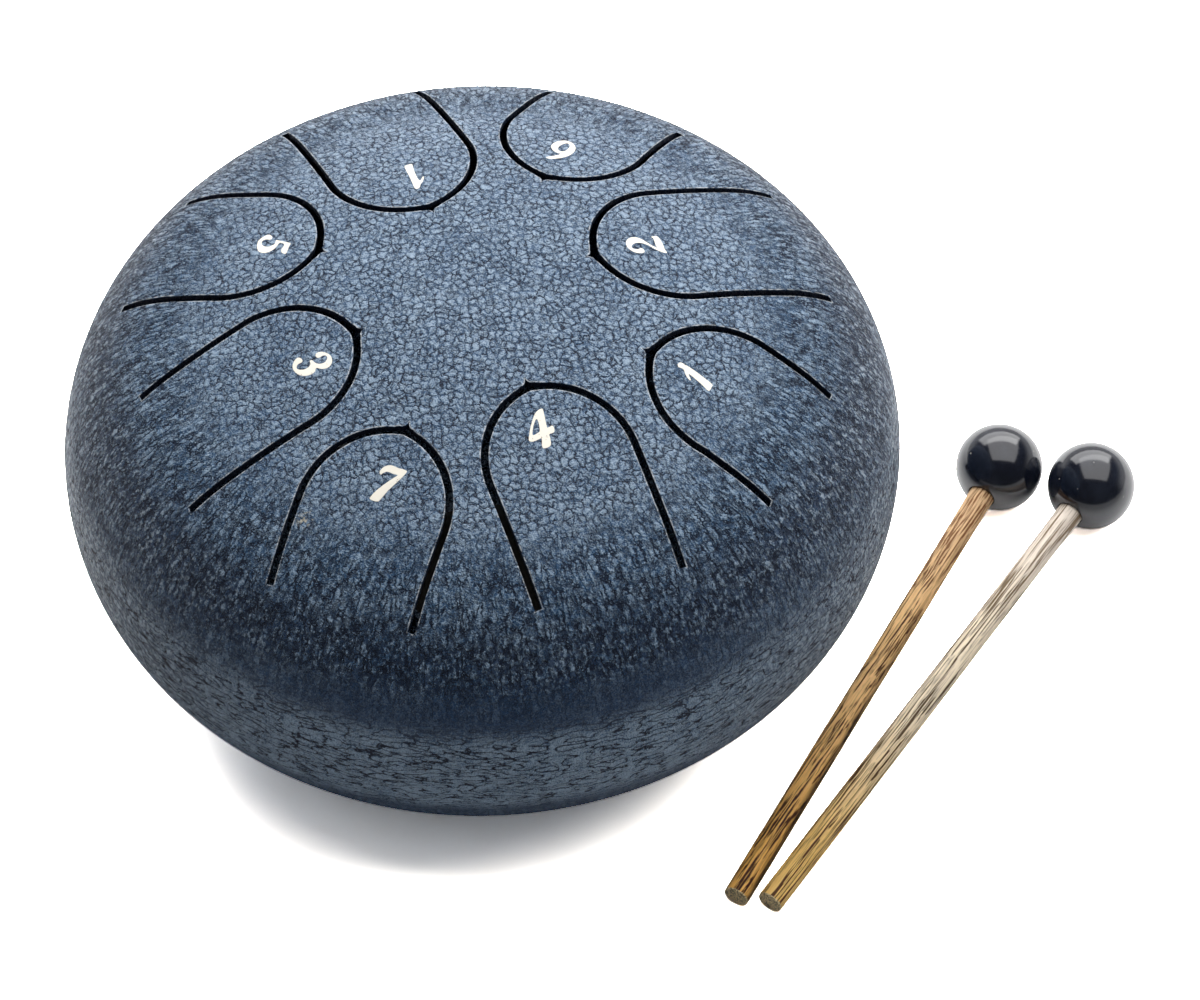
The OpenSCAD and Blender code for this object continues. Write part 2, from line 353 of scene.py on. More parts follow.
@dataclass(frozen=True)
class CracklePaint:
    """Baked crackle paint: cracked on the crown, flaked on the shoulder, wrinkled on the side."""

    axis_x: float
    equator_z: float
    radius: float
    shoulder_radius: float
    light: Colour = (0.260, 0.352, 0.465)
    deep: Colour = (0.026, 0.077, 0.162)
    # A near-black blue, painted as shade between the shoulder's flakes and along the band below
    # them.
    painted_shade: Colour = (0.004, 0.023, 0.068)
    # The cracks' own colour, which also paints the cuts' walls dark as shade.
    crack_and_cut_shade: Colour = (0.003, 0.009, 0.026)
    # A pale grey, painted as highlights on the lumps' tops at the drum's left and right sides.
    fleck_highlight: Colour = (0.42, 0.47, 0.53)
    # A pale grey, painted as a highlight along the cuts' edges.
    wear_and_edge_highlight: Colour = (0.50, 0.53, 0.56)
    scuff: Colour = (0.42, 0.40, 0.34)
    scuff_place: tuple[float, float, float] = (-0.0315, -0.0435, 0.0)
    scuff_fade: Point = (2.2 * MM, 0.3 * MM)

    # How the colours are shared out: ranges of the patterns, and shares of the colours.
    shades: Point = (0.60, 0.98)
    flake_edge: Point = (0.46, 0.55)
    fleck_highlight_start: Point = (0.53, 0.62)
    fleck_highlight_share: float = 0.55
    painted_shade_between: float = 0.85
    painted_shade_band: float = 0.70

    # Where each zone fades in or out, as shares of the drum's radius seen from above.
    shoulder_start: Point = (0.60, 0.76)
    flakes_start: Point = (0.80, 0.885)
    flakes_end: Point = (0.970, 0.930)
    band_start: Point = (0.910, 0.950)
    band_end: Point = (0.993, 0.968)
    side_start: Point = (0.955, 0.985)
    # How far to the left or right, as a share of the way from the axis, the flanks fade in.
    flank_start: Point = (0.30, 0.96)
    flank_share: float = 0.85

    # The nets: size of a cell, how many times finer the fine cracks are, widths of the cracks.
    cell: float = 1.5 * MM
    finer: float = 2.3
    crown_crack: float = 0.110
    shoulder_crack: float = 0.150
    # The plans on which the patterns are drawn, as shares of lengths on the drum.
    shoulder_turn: float = 1.05
    shoulder_slope: float = 0.42
    lump_height: float = 0.8
    side_stretch: float = 0.30
    side_height: float = 1.10
    back_from: float = 0.55
    # Scales of the even patterns, per metre.
    lump_scale: float = 1150.0
    grain_scale: float = 3400.0
    blotch_scale: float = 900.0
    broad_scale: float = 140.0
    scuff_scale: float = 1500.0

    # The relief: its depth, the share of each pattern, and its strength in each zone.
    relief: float = 0.24 * MM
    puff_rise: float = 0.40
    crack_fall: float = -0.80
    flake_rise: float = 0.7
    blotch_rise: float = 0.6
    grain_rise: float = 0.50
    rises: tuple[float, float, float] = (1.0, 1.8, 2.6)
    glosses: tuple[float, float, float] = (0.38, 0.20, 0.32)

    # Random shifts of the patterns: scale per metre and reach.
    SWAYS = ((420.0, 1.2 * MM), (1500.0, 1.05 * MM), (4000.0, 0.40 * MM))
    GENTLE_SWAYS = ((300.0, 1.1 * MM), (1500.0, 0.40 * MM))

    def build(self) -> bpy.types.Material:
        """Makes the material."""
        paint = Finish("crackle_paint")
        bench = paint.bench
        place = bench.vector("SUBTRACT", paint.place, (self.axis_x, 0.0, self.equator_z))
        flat = bench.vector("MULTIPLY", place, (1.0, 1.0, 0.0))
        from_axis = bench.vector("LENGTH", flat)
        zones = self.zones(bench, bench.split(place)[0], from_axis)
        drawn = self.patterns(bench, place, flat, from_axis, zones)
        colour = self.painted(bench, drawn, zones)
        colour = self.scuffed_and_cut_lit(bench, colour, place, flat, drawn)
        paint.set("Base Color", colour)
        rough = bench.plus(bench.times(drawn.grain, 0.16), bench.times(drawn.cracks, 0.3), 0.36)
        paint.set("Roughness", rough)
        paint.set("Specular IOR Level", zones.pick(bench, *self.glosses))
        paint.relief(self.height(bench, drawn, zones), self.relief)
        return paint.material

    def zones(self, bench: NodeBench, x: Socket, from_axis: Socket) -> PaintZones:
        """Finds the zones.

        Args:
            bench: the material's bench.
            x: how far to the right a place lies from the drum's axis.
            from_axis: how far it lies from the axis, seen from above.

        Returns:
            The zones.
        """
        reach = bench.math("DIVIDE", from_axis, self.radius)
        never_none = bench.plus(from_axis, 0.1 * MM)
        sideways = bench.math("DIVIDE", bench.math("ABSOLUTE", x), never_none)
        flank = bench.step(sideways, *self.flank_start, 0.0, self.flank_share)
        flaked = bench.math("MAXIMUM", bench.step(reach, *self.flakes_end), flank)
        inner, outer = (bench.step(reach, *edge) for edge in (self.band_start, self.band_end))
        return PaintZones(
            shoulder=bench.step(reach, *self.shoulder_start),
            flank=flank,
            flakes=bench.times(bench.step(reach, *self.flakes_start), flaked),
            band=bench.times(inner, outer, bench.rest(flank)),
            side=bench.step(reach, *self.side_start),
        )

    def patterns(
        self,
        bench: NodeBench,
        place: Socket,
        flat: Socket,
        from_axis: Socket,
        zones: PaintZones,
    ) -> PaintPatterns:
        """Draws the paint's patterns.

        Args:
            bench: the material's bench.
            place: places on the drum, from the middle of its equator.
            flat: the same places at the equator's level.
            from_axis: their distances from the axis.
            zones: where each kind of crackle lies.

        Returns:
            The patterns.
        """
        x, y, z = bench.split(place)
        from_middle = bench.plus(from_axis, self.shoulder_radius - self.radius)
        up = bench.times(bench.math("ARCTAN2", z, from_middle), self.shoulder_radius)
        heading = bench.vector("NORMALIZE", flat)
        turned_to = bench.vector("SCALE", heading, self.shoulder_turn * self.radius)
        slope = bench.join(z=bench.times(from_axis, self.shoulder_slope))
        sloped = bench.vector("ADD", turned_to, slope)
        shift = bench.sways(place, *self.SWAYS)
        level, leaning = (bench.vector("ADD", plan, shift) for plan in (flat, sloped))
        crown = self.net(bench, level, place, self.crown_crack, True)
        shoulder = self.net(bench, leaning, place, self.shoulder_crack, False)
        gentle = bench.sways(place, *self.GENTLE_SWAYS)
        side = self.wrinkles(bench, self.side_plan(bench, x, y, up, gentle))
        calm = bench.rest(bench.times(zones.band, 0.5))
        cracks, puff = (
            bench.times(zones.pick(bench, *three), calm) for three in zip(crown, shoulder, side)
        )
        banked = bench.join(z=bench.times(up, self.lump_height))
        lumps = bench.noise(bench.vector("ADD", turned_to, banked), self.lump_scale, 2.5, 0.65)
        return PaintPatterns(
            cracks=cracks,
            puff=puff,
            lumps=lumps,
            flakes=bench.step(lumps, *self.flake_edge),
            grain=bench.noise(place, self.grain_scale, 1.0, 0.6),
            blotch=bench.noise(place, self.blotch_scale, 3.0, 0.6),
            broad=bench.noise(place, self.broad_scale, 2.0),
        )

    def height(self, bench: NodeBench, drawn: PaintPatterns, zones: PaintZones) -> Socket:
        """Gives the height of the paint's relief."""
        raised = bench.plus(
            bench.times(drawn.puff, self.puff_rise),
            bench.times(drawn.cracks, self.crack_fall),
            bench.times(drawn.flakes, zones.flakes, self.flake_rise),
            bench.times(drawn.blotch, zones.side, self.blotch_rise),
            bench.times(drawn.grain, self.grain_rise),
        )
        return bench.times(raised, zones.pick(bench, *self.rises))

    def painted(self, bench: NodeBench, drawn: PaintPatterns, zones: PaintZones) -> Socket:
        """Gives the colour of the paint, with painted shade on the shoulder and band and painted
        highlights.
        """
        # The last share lightens the side below the band a little: painted light thrown up by the
        # table.
        shade = bench.plus(
            bench.times(drawn.broad, 0.25),
            bench.times(drawn.grain, 0.75),
            bench.times(drawn.blotch, 0.4),
            bench.times(drawn.puff, 0.14),
            bench.times(zones.side, bench.rest(zones.band), 0.03),
        )
        colour = bench.mix(bench.step(shade, *self.shades), self.deep, self.light)
        # Painted shade: the ground between the shoulder's flakes and the band below them go
        # near-black.
        between = bench.times(zones.flakes, bench.rest(drawn.flakes), self.painted_shade_between)
        painted_shade = bench.math("MAXIMUM", between, bench.times(zones.band, self.painted_shade_band))
        colour = bench.mix(painted_shade, colour, self.painted_shade)
        # Painted highlights: the lumps' tops on the left and right sides turn pale.
        highlit_tops = bench.times(bench.step(drawn.lumps, *self.fleck_highlight_start), zones.flakes, zones.flank)
        colour = bench.mix(bench.times(highlit_tops, self.fleck_highlight_share), colour, self.fleck_highlight)
        return bench.mix(drawn.cracks, colour, self.crack_and_cut_shade)

    def scuffed_and_cut_lit(
        self, bench: NodeBench, colour: Socket, place: Socket, flat: Socket, drawn: PaintPatterns
    ) -> Socket:
        """Adds the scuffed spot, a painted highlight along the cuts' edges and painted shade on
        their walls.

        Args:
            bench: the material's bench.
            colour: the colour of the paint as it was baked.
            place: places on the drum, from the middle of its equator.
            flat: the same places at the equator's level.
            drawn: the paint's patterns.

        Returns:
            The finished colour.
        """
        away = bench.vector("LENGTH", bench.vector("SUBTRACT", flat, self.scuff_place))
        near = bench.step(away, *self.scuff_fade)
        ragged = bench.step(bench.noise(place, self.scuff_scale), 0.50, 0.62)
        colour = bench.mix(bench.times(near, ragged), colour, self.scuff)
        # A ragged painted highlight along the cuts' edges, and painted shade down the cuts' walls.
        edge = bench.node("ShaderNodeAttribute", {"attribute_name": "painted_cut_light"}).outputs["Fac"]
        bright = bench.times(bench.step(edge, 0.15, 0.9), bench.step(drawn.blotch, 0.36, 0.60))
        colour = bench.mix(bright, colour, self.wear_and_edge_highlight)
        return bench.mix(bench.step(edge, -0.1, -0.7), colour, self.crack_and_cut_shade)

    def side_plan(
        self, bench: NodeBench, x: Socket, y: Socket, up: Socket, shift: Socket
    ) -> Socket:
        """Lays the side out flat as a band, in a front piece and a back one.

        Args:
            bench: the material's bench.
            x: how far to the right a place lies from the drum's axis.
            y: how far back it lies.
            up: its height along the shoulder's curve.
            shift: the random shift to add.

        Returns:
            The places laid out flat, in metres.
        """
        front = bench.math("ARCTAN2", x, bench.times(y, -1.0))
        back = bench.plus(bench.math("ARCTAN2", x, y), 9.0)
        at_back = bench.math("GREATER_THAN", y, self.back_from * self.radius)
        around = bench.blend(at_back, front, back)
        along = bench.times(around, self.radius * self.side_stretch)
        return bench.vector("ADD", bench.join(along, bench.times(up, self.side_height)), shift)

    @staticmethod
    def wrinkles(bench: NodeBench, plan: Socket) -> tuple[Socket, Socket]:
        """Draws the side's wrinkles, which run level and wander.

        Args:
            bench: the material's bench.
            plan: places on the side laid out flat, in metres.

        Returns:
            A number that is 1 in a wrinkle, and one that rises away from the wrinkles.
        """
        coarse = bench.math("ABSOLUTE", bench.plus(bench.noise(plan, 760.0, 0.6), -0.5))
        fine = bench.math("ABSOLUTE", bench.plus(bench.noise(plan, 1300.0, 0.6), -0.47))
        narrow = bench.step(fine, 0.030, 0.006, 0.0, 0.6)
        wrinkled = bench.math("MAXIMUM", bench.step(coarse, 0.034, 0.006), narrow)
        return wrinkled, bench.step(coarse, 0.0, 0.08)

    def net(
        self, bench: NodeBench, plan: Socket, place: Socket, width: float, flat: bool
    ) -> tuple[Socket, Socket]:
        """Draws one net of cracks, with finer ones between them.

        Args:
            bench: the material's bench.
            plan: places laid out for the net, in metres.
            place: places on the drum, in metres.
            width: share of a cell over which a crack fades out.
            flat: whether the places are laid out flat.

        Returns:
            A number that is 1 in a crack, and one that rises towards the middle of each cell.
        """
        apart = bench.cells(plan, 1.0 / self.cell, flat)
        finer = bench.cells(plan, self.finer / self.cell, flat)
        there = bench.step(bench.noise(place, 520.0, 3.0, 0.6), 0.36, 0.58, 0.15, 1.0)
        fine_there = bench.step(bench.noise(place, 800.0, 2.0), 0.46, 0.56, 0.0, 0.65)
        wide = bench.times(bench.step(apart, width, 0.02), there)
        narrow = bench.times(bench.step(finer, 1.5 * width, 0.02), fine_there)
        return bench.math("MAXIMUM", wide, narrow), bench.step(apart, 0.0, 0.34)


@dataclass(frozen=True)
class BareSteel:
    """Bare or plated steel of the fasteners and of the weld's root."""

    name: str
    colour: Colour
    roughness: float
    heat_tint: Colour | None = None

    def build(self) -> bpy.types.Material:
        """Makes the material."""
        steel = Finish(self.name)
        bench = steel.bench
        mottle = bench.noise(steel.place, 900.0, 4.0, 0.65)
        dark = tuple(0.55 * c for c in self.colour)
        colour = bench.mix(bench.step(mottle, 0.35, 0.65), dark, self.colour)
        if self.heat_tint:
            tinted = bench.step(bench.noise(steel.place, 160.0), 0.42, 0.62)
            colour = bench.mix(tinted, colour, self.heat_tint)
        steel.set("Base Color", colour)
        steel.set("Metallic", 1.0)
        steel.set("Roughness", bench.plus(bench.times(mottle, 0.2), self.roughness))
        steel.relief(mottle, 0.05 * MM, 0.4)
        return steel.material


@dataclass(frozen=True)
class FootRubber:
    """Matt black moulded rubber, with dust in its pores."""

    colour: Colour = (0.018, 0.018, 0.020)
    dust: Colour = (0.075, 0.073, 0.070)

    def build(self) -> bpy.types.Material:
        """Makes the material."""
        rubber = Finish("foot_rubber")
        bench = rubber.bench
        dust = bench.step(bench.noise(rubber.place, 380.0, 4.0), 0.5, 0.72, 0.0, 0.7)
        rubber.set("Base Color", bench.mix(dust, self.colour, self.dust))
        rubber.set("Roughness", bench.plus(bench.times(dust, 0.25), 0.6))
        rubber.relief(bench.noise(rubber.place, 2400.0, 3.0, 0.6), 0.06 * MM, 0.5)
        return rubber.material


@dataclass(frozen=True)
class GlossRubber:
    """Polished black rubber of the balls, slightly uneven."""

    colour: Colour = (0.006, 0.008, 0.016)
    bloom: Colour = (0.014, 0.018, 0.030)

    def build(self) -> bpy.types.Material:
        """Makes the material."""
        rubber = Finish("gloss_rubber")
        bench = rubber.bench
        haze = bench.noise(rubber.place, 260.0, 4.0, 0.6)
        grain = bench.noise(rubber.place, 2600.0, 2.0, 0.6)
        rubber.set("Base Color", bench.mix(bench.step(haze, 0.4, 0.7), self.colour, self.bloom))
        rubber.set("Roughness", bench.plus(bench.times(haze, 0.14), bench.times(grain, 0.08), 0.03))
        rubber.set("Specular IOR Level", 0.75)
        rubber.relief(bench.plus(haze, bench.times(grain, 0.10)), 0.05 * MM, 0.3)
        return rubber.material


@dataclass(frozen=True)
class Dust:
    """Pale dust on the balls."""

    colour: Colour = (0.50, 0.48, 0.44)

    def build(self) -> bpy.types.Material:
        """Makes the material."""
        dust = Finish("pale_dust")
        dim = tuple(0.6 * c for c in self.colour)
        shade = dust.bench.noise(dust.place, 5000.0)
        dust.set("Base Color", dust.bench.mix(shade, dim, self.colour))
        dust.set("Roughness", 0.8)
        return dust.material


@dataclass(frozen=True)
class Foil:
    """Cream foil of the numerals, with small gaps where it has worn."""

    colour: Colour = (0.93, 0.88, 0.77)
    wear_and_edge_highlight: Colour = (0.42, 0.37, 0.30)

    def build(self) -> bpy.types.Material:
        """Makes the material."""
        foil = Finish("numeral_foil")
        bench = foil.bench
        gaps = bench.step(bench.noise(foil.place, 1500.0, 3.0, 0.6), 0.66, 0.72)
        foil.set("Base Color", bench.mix(gaps, self.colour, self.wear_and_edge_highlight))
        foil.set("Roughness", 0.42)
        foil.relief(bench.noise(foil.place, 1100.0, 2.0), 0.05 * MM, 0.4)
        return foil.material


@dataclass(frozen=True)
class WoodTone:
    """The pale and the dark wood at one place along a stick."""

    pale: Colour
    dark: Colour


@dataclass(frozen=True)
class DowelWood:
    """Coarse-grained bare wood of a stick, drawn along the stick's own axis."""

    name: str
    at_ball: WoodTone
    at_middle: WoodTone
    at_end: WoodTone
    # The dark colour painted on the stick's left and right flanks as shade.
    flank: Colour
    flank_share: float
    right_shade_share: float
    flame: float
    lean: float
    seed: float
    end_pale: Colour = (0.78, 0.62, 0.36)
    end_dark: Colour = (0.030, 0.020, 0.012)
    pore_scale: float = 1900.0
    relief: float = 0.10 * MM

    # Where the tones change along the stick, as shares of its length.
    middle_start: Point = (0.10, 0.45)
    end_start: Point = (0.50, 0.92)
    flank_start: Point = (0.2, 0.8)
    face_start: Point = (0.9962, 0.9980)
    # How far off the middle the painted shade on the flanks starts, to the left and to the right.
    left_shade_edge: Point = (2.4 * MM, 2.9 * MM)
    right_shade_edge: Point = (2.1 * MM, 2.9 * MM)

    # Drawn out patterns: share along the stick, scale per metre and detail.
    LINES = (0.016, 2500.0, 1.0)
    STREAKS = (0.09, 3000.0, 1.0)
    FIBRES = (0.022, 2900.0, 1.0)
    FIGURE = (0.22, 420.0, 2.0)

    def build(
        self, ball_centre: Sequence[float], turn: Sequence[float], length: float
    ) -> bpy.types.Material:
        """Makes the material.

        Args:
            ball_centre: the ball's middle, where the mallet's own place has its origin.
            turn: the mallet's turn from its own place, where the stick runs along -X.
            length: the stick's length from the ball's middle to its far end.

        Returns:
            The material.
        """
        wood = Finish(self.name)
        bench = wood.bench
        mapping = bench.node(
            "ShaderNodeMapping",
            {"vector_type": "TEXTURE"},
            Vector=wood.place,
            Location=tuple(ball_centre),
            Rotation=tuple(turn),
        )
        own = mapping.outputs["Vector"]
        x, y, z = bench.split(own)
        along = bench.math("DIVIDE", x, -length)
        leaned = bench.join(x, bench.plus(y, bench.times(x, self.lean)), z)
        leaned = bench.vector("ADD", leaned, (self.seed, self.seed, self.seed))
        wavy = bench.vector("ADD", leaned, bench.sway(leaned, 90.0, 1.1 * MM))
        lines = self.drawn(bench, leaned, *self.LINES)
        streaks, fibres, figure = (
            self.drawn(bench, wavy, *kind) for kind in (self.STREAKS, self.FIBRES, self.FIGURE)
        )
        flamed = bench.step(figure, 0.42, 0.58)
        darkness = bench.plus(
            bench.times(bench.step(lines, 0.545, 0.56), 1.0),
            bench.times(bench.step(streaks, 0.50, 0.515), flamed, self.flame),
            bench.times(bench.step(fibres, 0.46, 0.44), 0.35),
        )
        darkness = bench.math("MINIMUM", darkness, 1.0)
        pale, dark = self.tones(bench, along)
        colour = bench.mix(darkness, pale, dark)
        colour = bench.mix(bench.step(fibres, 0.555, 0.57, 0.0, 0.85), colour, pale)
        # Painted shade: the stick's left and right flanks darken.
        colour = bench.mix(self.outer(bench, y, along, figure), colour, self.flank)
        face = bench.step(along, *self.face_start)
        ragged = bench.vector("ADD", own, bench.sway(own, 2400.0, 0.5 * MM))
        speck = bench.step(bench.cells(ragged, self.pore_scale), 0.02, 0.12)
        colour = bench.mix(face, colour, bench.mix(speck, self.end_dark, self.end_pale))
        wood.set("Base Color", colour)
        wood.set("Roughness", 0.62)
        wood.set("Specular IOR Level", 0.2)
        grain = bench.plus(bench.times(darkness, -0.9), bench.times(fibres, 0.4))
        wood.relief(bench.plus(grain, bench.times(face, speck, 1.6)), self.relief, 0.8)
        return wood.material

    def tones(self, bench: NodeBench, along: Socket) -> tuple[Socket, Socket]:
        """Gives the pale and the dark wood at shares of the way along the stick."""
        first, second = (bench.step(along, *start) for start in (self.middle_start, self.end_start))
        ball, middle, end = self.at_ball, self.at_middle, self.at_end
        pale = bench.mix(second, bench.mix(first, ball.pale, middle.pale), end.pale)
        return pale, bench.mix(second, bench.mix(first, ball.dark, middle.dark), end.dark)

    def outer(self, bench: NodeBench, y: Socket, along: Socket, figure: Socket) -> Socket:
        """Finds the stick's left and right flanks, which are painted dark as shade.

        Args:
            bench: the material's bench.
            y: how far to the left of the stick's middle a place lies.
            along: how far along the stick it lies, as a share.
            figure: the wood's figure, which makes the flanks' edges ragged.

        Returns:
            A number that is highest where the painted shade is darkest.
        """
        ragged = bench.times(figure, 1.0 * MM)
        left, right = (
            bench.step(bench.plus(bench.times(y, way), ragged), *edge, 0.0, share)
            for way, edge, share in (
                (1.0, self.left_shade_edge, self.flank_share),
                (-1.0, self.right_shade_edge, self.right_shade_share),
            )
        )
        return bench.times(bench.math("MAXIMUM", left, right), bench.step(along, *self.flank_start))

    @staticmethod
    def drawn(bench: NodeBench, place: Socket, share: float, scale: float, detail: float) -> Socket:
        """Gives a noise that is drawn out along the stick."""
        return bench.noise(bench.vector("MULTIPLY", place, (share, 1.0, 1.0)), scale, detail, 0.6)


# Meshes


def make_mesh(name: str, points: Sequence[Sequence[float]], faces: Faces) -> bpy.types.Mesh:
    """Makes a plain mesh from points in metres and faces as numbers of points."""
    mesh = bpy.data.meshes.new(name)
    mesh.from_pydata([tuple(p) for p in points], [], [tuple(f) for f in faces])
    return mesh


def make_piece(
    name: str,
    points: Sequence[Sequence[float]],
    faces: Faces,
    material: bpy.types.Material,
    rework: Callable[[bpy.types.Mesh], None] | None = None,
) -> bpy.types.Object:
    """Makes one piece.

    Args:
        name: the piece's name.
        points: its points, in metres, in the frame of the whole set.
        faces: its faces, as numbers of points.
        material: its finish.
        rework: changes the mesh before the piece is made.

    Returns:
        The new object.
    """
    mesh = make_mesh(name, points, faces)
    mesh.materials.append(material)
    if rework:
        rework(mesh)
    piece = bpy.data.objects.new(name, mesh)
    bpy.context.scene.collection.objects.link(piece)
    return piece


def settle(
    piece: bpy.types.Object, body: str, replaced: Sequence[str] = ()
) -> bpy.types.Object:
    """Smooths a finished piece and puts it on its body.

    Args:
        piece: the piece, in its place.
        body: the body that it moves with.
        replaced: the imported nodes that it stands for.

    Returns:
        The same object.
    """
    piece.data.shade_smooth()
    piece.data.set_sharp_from_angle(angle=SHARP_ANGLE)
    if replaced:
        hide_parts(*replaced)
    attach(piece, body)
    log.info("%s: %d faces, on %s", piece.name, len(piece.data.polygons), body)
    return piece


def shifted(faces: Faces, by: int, flipped: bool = False) -> Faces:
    """Counts the faces' points on from a number, and turns the faces round where asked."""
    return [tuple(by + i for i in (reversed(face) if flipped else face)) for face in faces]


def point_outwards(mesh: bpy.types.Mesh) -> None:
    """Turns all faces of a closed mesh outwards."""
    work = bmesh.new()
    work.from_mesh(mesh)
    bmesh.ops.recalc_face_normals(work, faces=work.faces)
    work.to_mesh(mesh)
    work.free()


def band(row: Sequence[int], after: Sequence[int]) -> Faces:
    """Joins two closed rows of as many points."""
    faces: Faces = []
    for k in range(len(row)):
        n = (k + 1) % len(row)
        face = tuple(dict.fromkeys((row[k], row[n], after[n], after[k])))
        if len(face) > 2:
            faces.append(face)
    return faces


def ring(steps: int, shift: float = 0.0) -> np.ndarray:
    """Gives directions spread evenly over a full turn, shifted by a share of a step."""
    angles = (np.arange(steps) + shift) * (math.tau / steps)
    return np.column_stack([np.cos(angles), np.sin(angles)])


def lathe(profile: Sequence[Point], steps: int) -> tuple[np.ndarray, Faces]:
    """Turns a profile round the Z axis.

    Args:
        profile: distances from the axis and heights, with the solid to the left of the way.
        steps: how many times each point is repeated.

    Returns:
        The points, and the faces as numbers of points.
    """
    points: list[np.ndarray] = []
    rows: list[list[int]] = []
    count = 0
    for distance, height in profile:
        on_axis = abs(distance) < NEARLY_NONE
        size = 1 if on_axis else steps
        across = distance * ring(steps)[:size]
        points.append(np.column_stack([across, np.full(size, height)]))
        rows.append([count] * steps if on_axis else list(range(count, count + steps)))
        count += size
    pairs = list(zip(rows, rows[1:]))
    if profile[0][0] > NEARLY_NONE and profile[-1][0] > NEARLY_NONE:
        pairs.append((rows[-1], rows[0]))
    return np.vstack(points), [face for row, after in pairs for face in band(row, after)]


def arc(centre: Point, radius: float, start: float, end: float, steps: int) -> list[Point]:
    """Lists points on a circle from one angle to another, in degrees."""
    angles = np.radians(np.linspace(start, end, steps + 1))
    return [(centre[0] + radius * math.cos(a), centre[1] + radius * math.sin(a)) for a in angles]


def turned(plan: np.ndarray, angle: float) -> np.ndarray:
    """Turns a plan round its origin, counter-clockwise."""
    c, s = math.cos(angle), math.sin(angle)
    return plan @ np.array([[c, s], [-s, c]])


def inside(points: np.ndarray, loop: np.ndarray) -> np.ndarray:
    """Tells which points lie inside a closed line."""
    found = np.zeros(len(points), bool)
    for (x1, y1), (x2, y2) in zip(loop, np.roll(loop, -1, axis=0)):
        if y1 != y2:
            between = (y1 > points[:, 1]) != (y2 > points[:, 1])
            found ^= between & (points[:, 0] < x1 + (points[:, 1] - y1) * (x2 - x1) / (y2 - y1))
    return found


def fill(
    loops: Sequence[np.ndarray], loose: np.ndarray, bounded: bool, holes: Sequence[int]
) -> tuple[np.ndarray, Faces, list[list[int]]]:
    """Fills a plan with triangles that follow its lines.

    Args:
        loops: closed lines that the triangles follow.
        loose: further points.
        bounded: whether the first line bounds the plan. Otherwise its outermost points do.
        holes: numbers of the lines that stay open inside.

    Returns:
        The points, the triangles and each line as numbers of points.
    """
    edges, rows, start = [], [], 0
    for loop in loops:
        numbers = list(range(start, start + len(loop)))
        edges += list(zip(numbers, numbers[1:] + numbers[:1]))
        rows.append(numbers)
        start += len(loop)
    given = [Vector(p) for p in np.vstack([*loops, loose])]
    made = delaunay_2d_cdt(given, edges, [], 0, NEARLY_NONE)
    placed = np.array([tuple(v) for v in made[0]])
    number_of = {old: new for new, olds in enumerate(made[3]) for old in olds}
    triangles = np.array([tuple(f) for f in made[2]])
    middles = placed[triangles].mean(axis=1)
    keep = inside(middles, loops[0]) if bounded else np.ones(len(triangles), bool)
    for hole in holes:
        keep &= ~inside(middles, loops[hole])
    faces = [tuple(int(i) for i in t) for t in triangles[keep]]
    return placed, faces, [[number_of[i] for i in row] for row in rows]


# The drum


@dataclass
class DrumForm:
    """The drum's own sizes and the curve of its shells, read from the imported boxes."""

    shoulder_radius: float = 34.6 * MM
    wall: float = 1.2 * MM
    axis_x: float = field(init=False)
    radius: float = field(init=False)
    equator_z: float = field(init=False)
    rise: float = field(init=False)

    def __post_init__(self) -> None:
        """Reads the upper shell's box."""
        low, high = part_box(Half.UPPER.value)
        self.axis_x = (low.x + high.x) / 2
        self.radius = (high.y - low.y) / 2
        self.equator_z = low.z
        self.rise = high.z - low.z

    @property
    def shoulder_x(self) -> float:
        """Distance of the shoulder's middle from the axis."""
        return self.radius - self.shoulder_radius

    @property
    def dome_radius(self) -> float:
        """Radius of the crown's big circle."""
        rise, small = self.rise, self.shoulder_radius
        return (self.shoulder_x**2 + rise**2 - small**2) / (2 * (rise - small))

    @property
    def dome_drop(self) -> float:
        """Depth of the upper crown's middle point below the equator."""
        return self.dome_radius - self.rise

    @property
    def meet_angle(self) -> float:
        """Angle from the axis at which the crown's circle meets the shoulder's."""
        return math.atan2(self.shoulder_x, self.dome_drop)

    def angle_at(self, distance: np.ndarray, inset: float = 0.0) -> np.ndarray:
        """Gives the slope angle of a shell's face at distances from the axis."""
        dome, small = self.dome_radius - inset, self.shoulder_radius - inset
        crown = np.arcsin(np.clip(distance / dome, -1, 1))
        shoulder = np.arcsin(np.clip((distance - self.shoulder_x) / small, -1, 1))
        return np.where(distance <= dome * math.sin(self.meet_angle), crown, shoulder)

    def place_at(self, angle: np.ndarray, inset: float = 0.0) -> tuple[np.ndarray, np.ndarray]:
        """Gives distance from the axis and height above the equator for slope angles."""
        dome, small = self.dome_radius - inset, self.shoulder_radius - inset
        on_dome = angle <= self.meet_angle
        distance = np.where(on_dome, dome * np.sin(angle), self.shoulder_x + small * np.sin(angle))
        height = np.where(on_dome, dome * np.cos(angle) - self.dome_drop, small * np.cos(angle))
        return distance, height

    def run_at(self, angle: np.ndarray, inset: float = 0.0) -> np.ndarray:
        """Gives the length along the face from the crown's middle for slope angles."""
        dome, small = self.dome_radius - inset, self.shoulder_radius - inset
        past = dome * self.meet_angle + small * (angle - self.meet_angle)
        return np.where(angle <= self.meet_angle, dome * angle, past)

    def angle_of_run(self, run: np.ndarray, inset: float = 0.0) -> np.ndarray:
        """Gives slope angles for lengths along the face from the crown's middle."""
        dome, small = self.dome_radius - inset, self.shoulder_radius - inset
        bend = dome * self.meet_angle
        return np.where(run <= bend, run / dome, self.meet_angle + (run - bend) / small)

    def lift(self, plan: np.ndarray, sink: float = 0.0) -> np.ndarray:
        """Raises points of the plan onto the upper shell's outer face.

        Args:
            plan: points seen from above, from the drum's axis.
            sink: how far below the face the points lie.

        Returns:
            The points in the frame of the whole set.
        """
        _, height = self.place_at(self.angle_at(np.hypot(plan[:, 0], plan[:, 1])))
        level = self.equator_z + height - sink
        return np.column_stack([plan[:, 0] + self.axis_x, plan[:, 1], level])


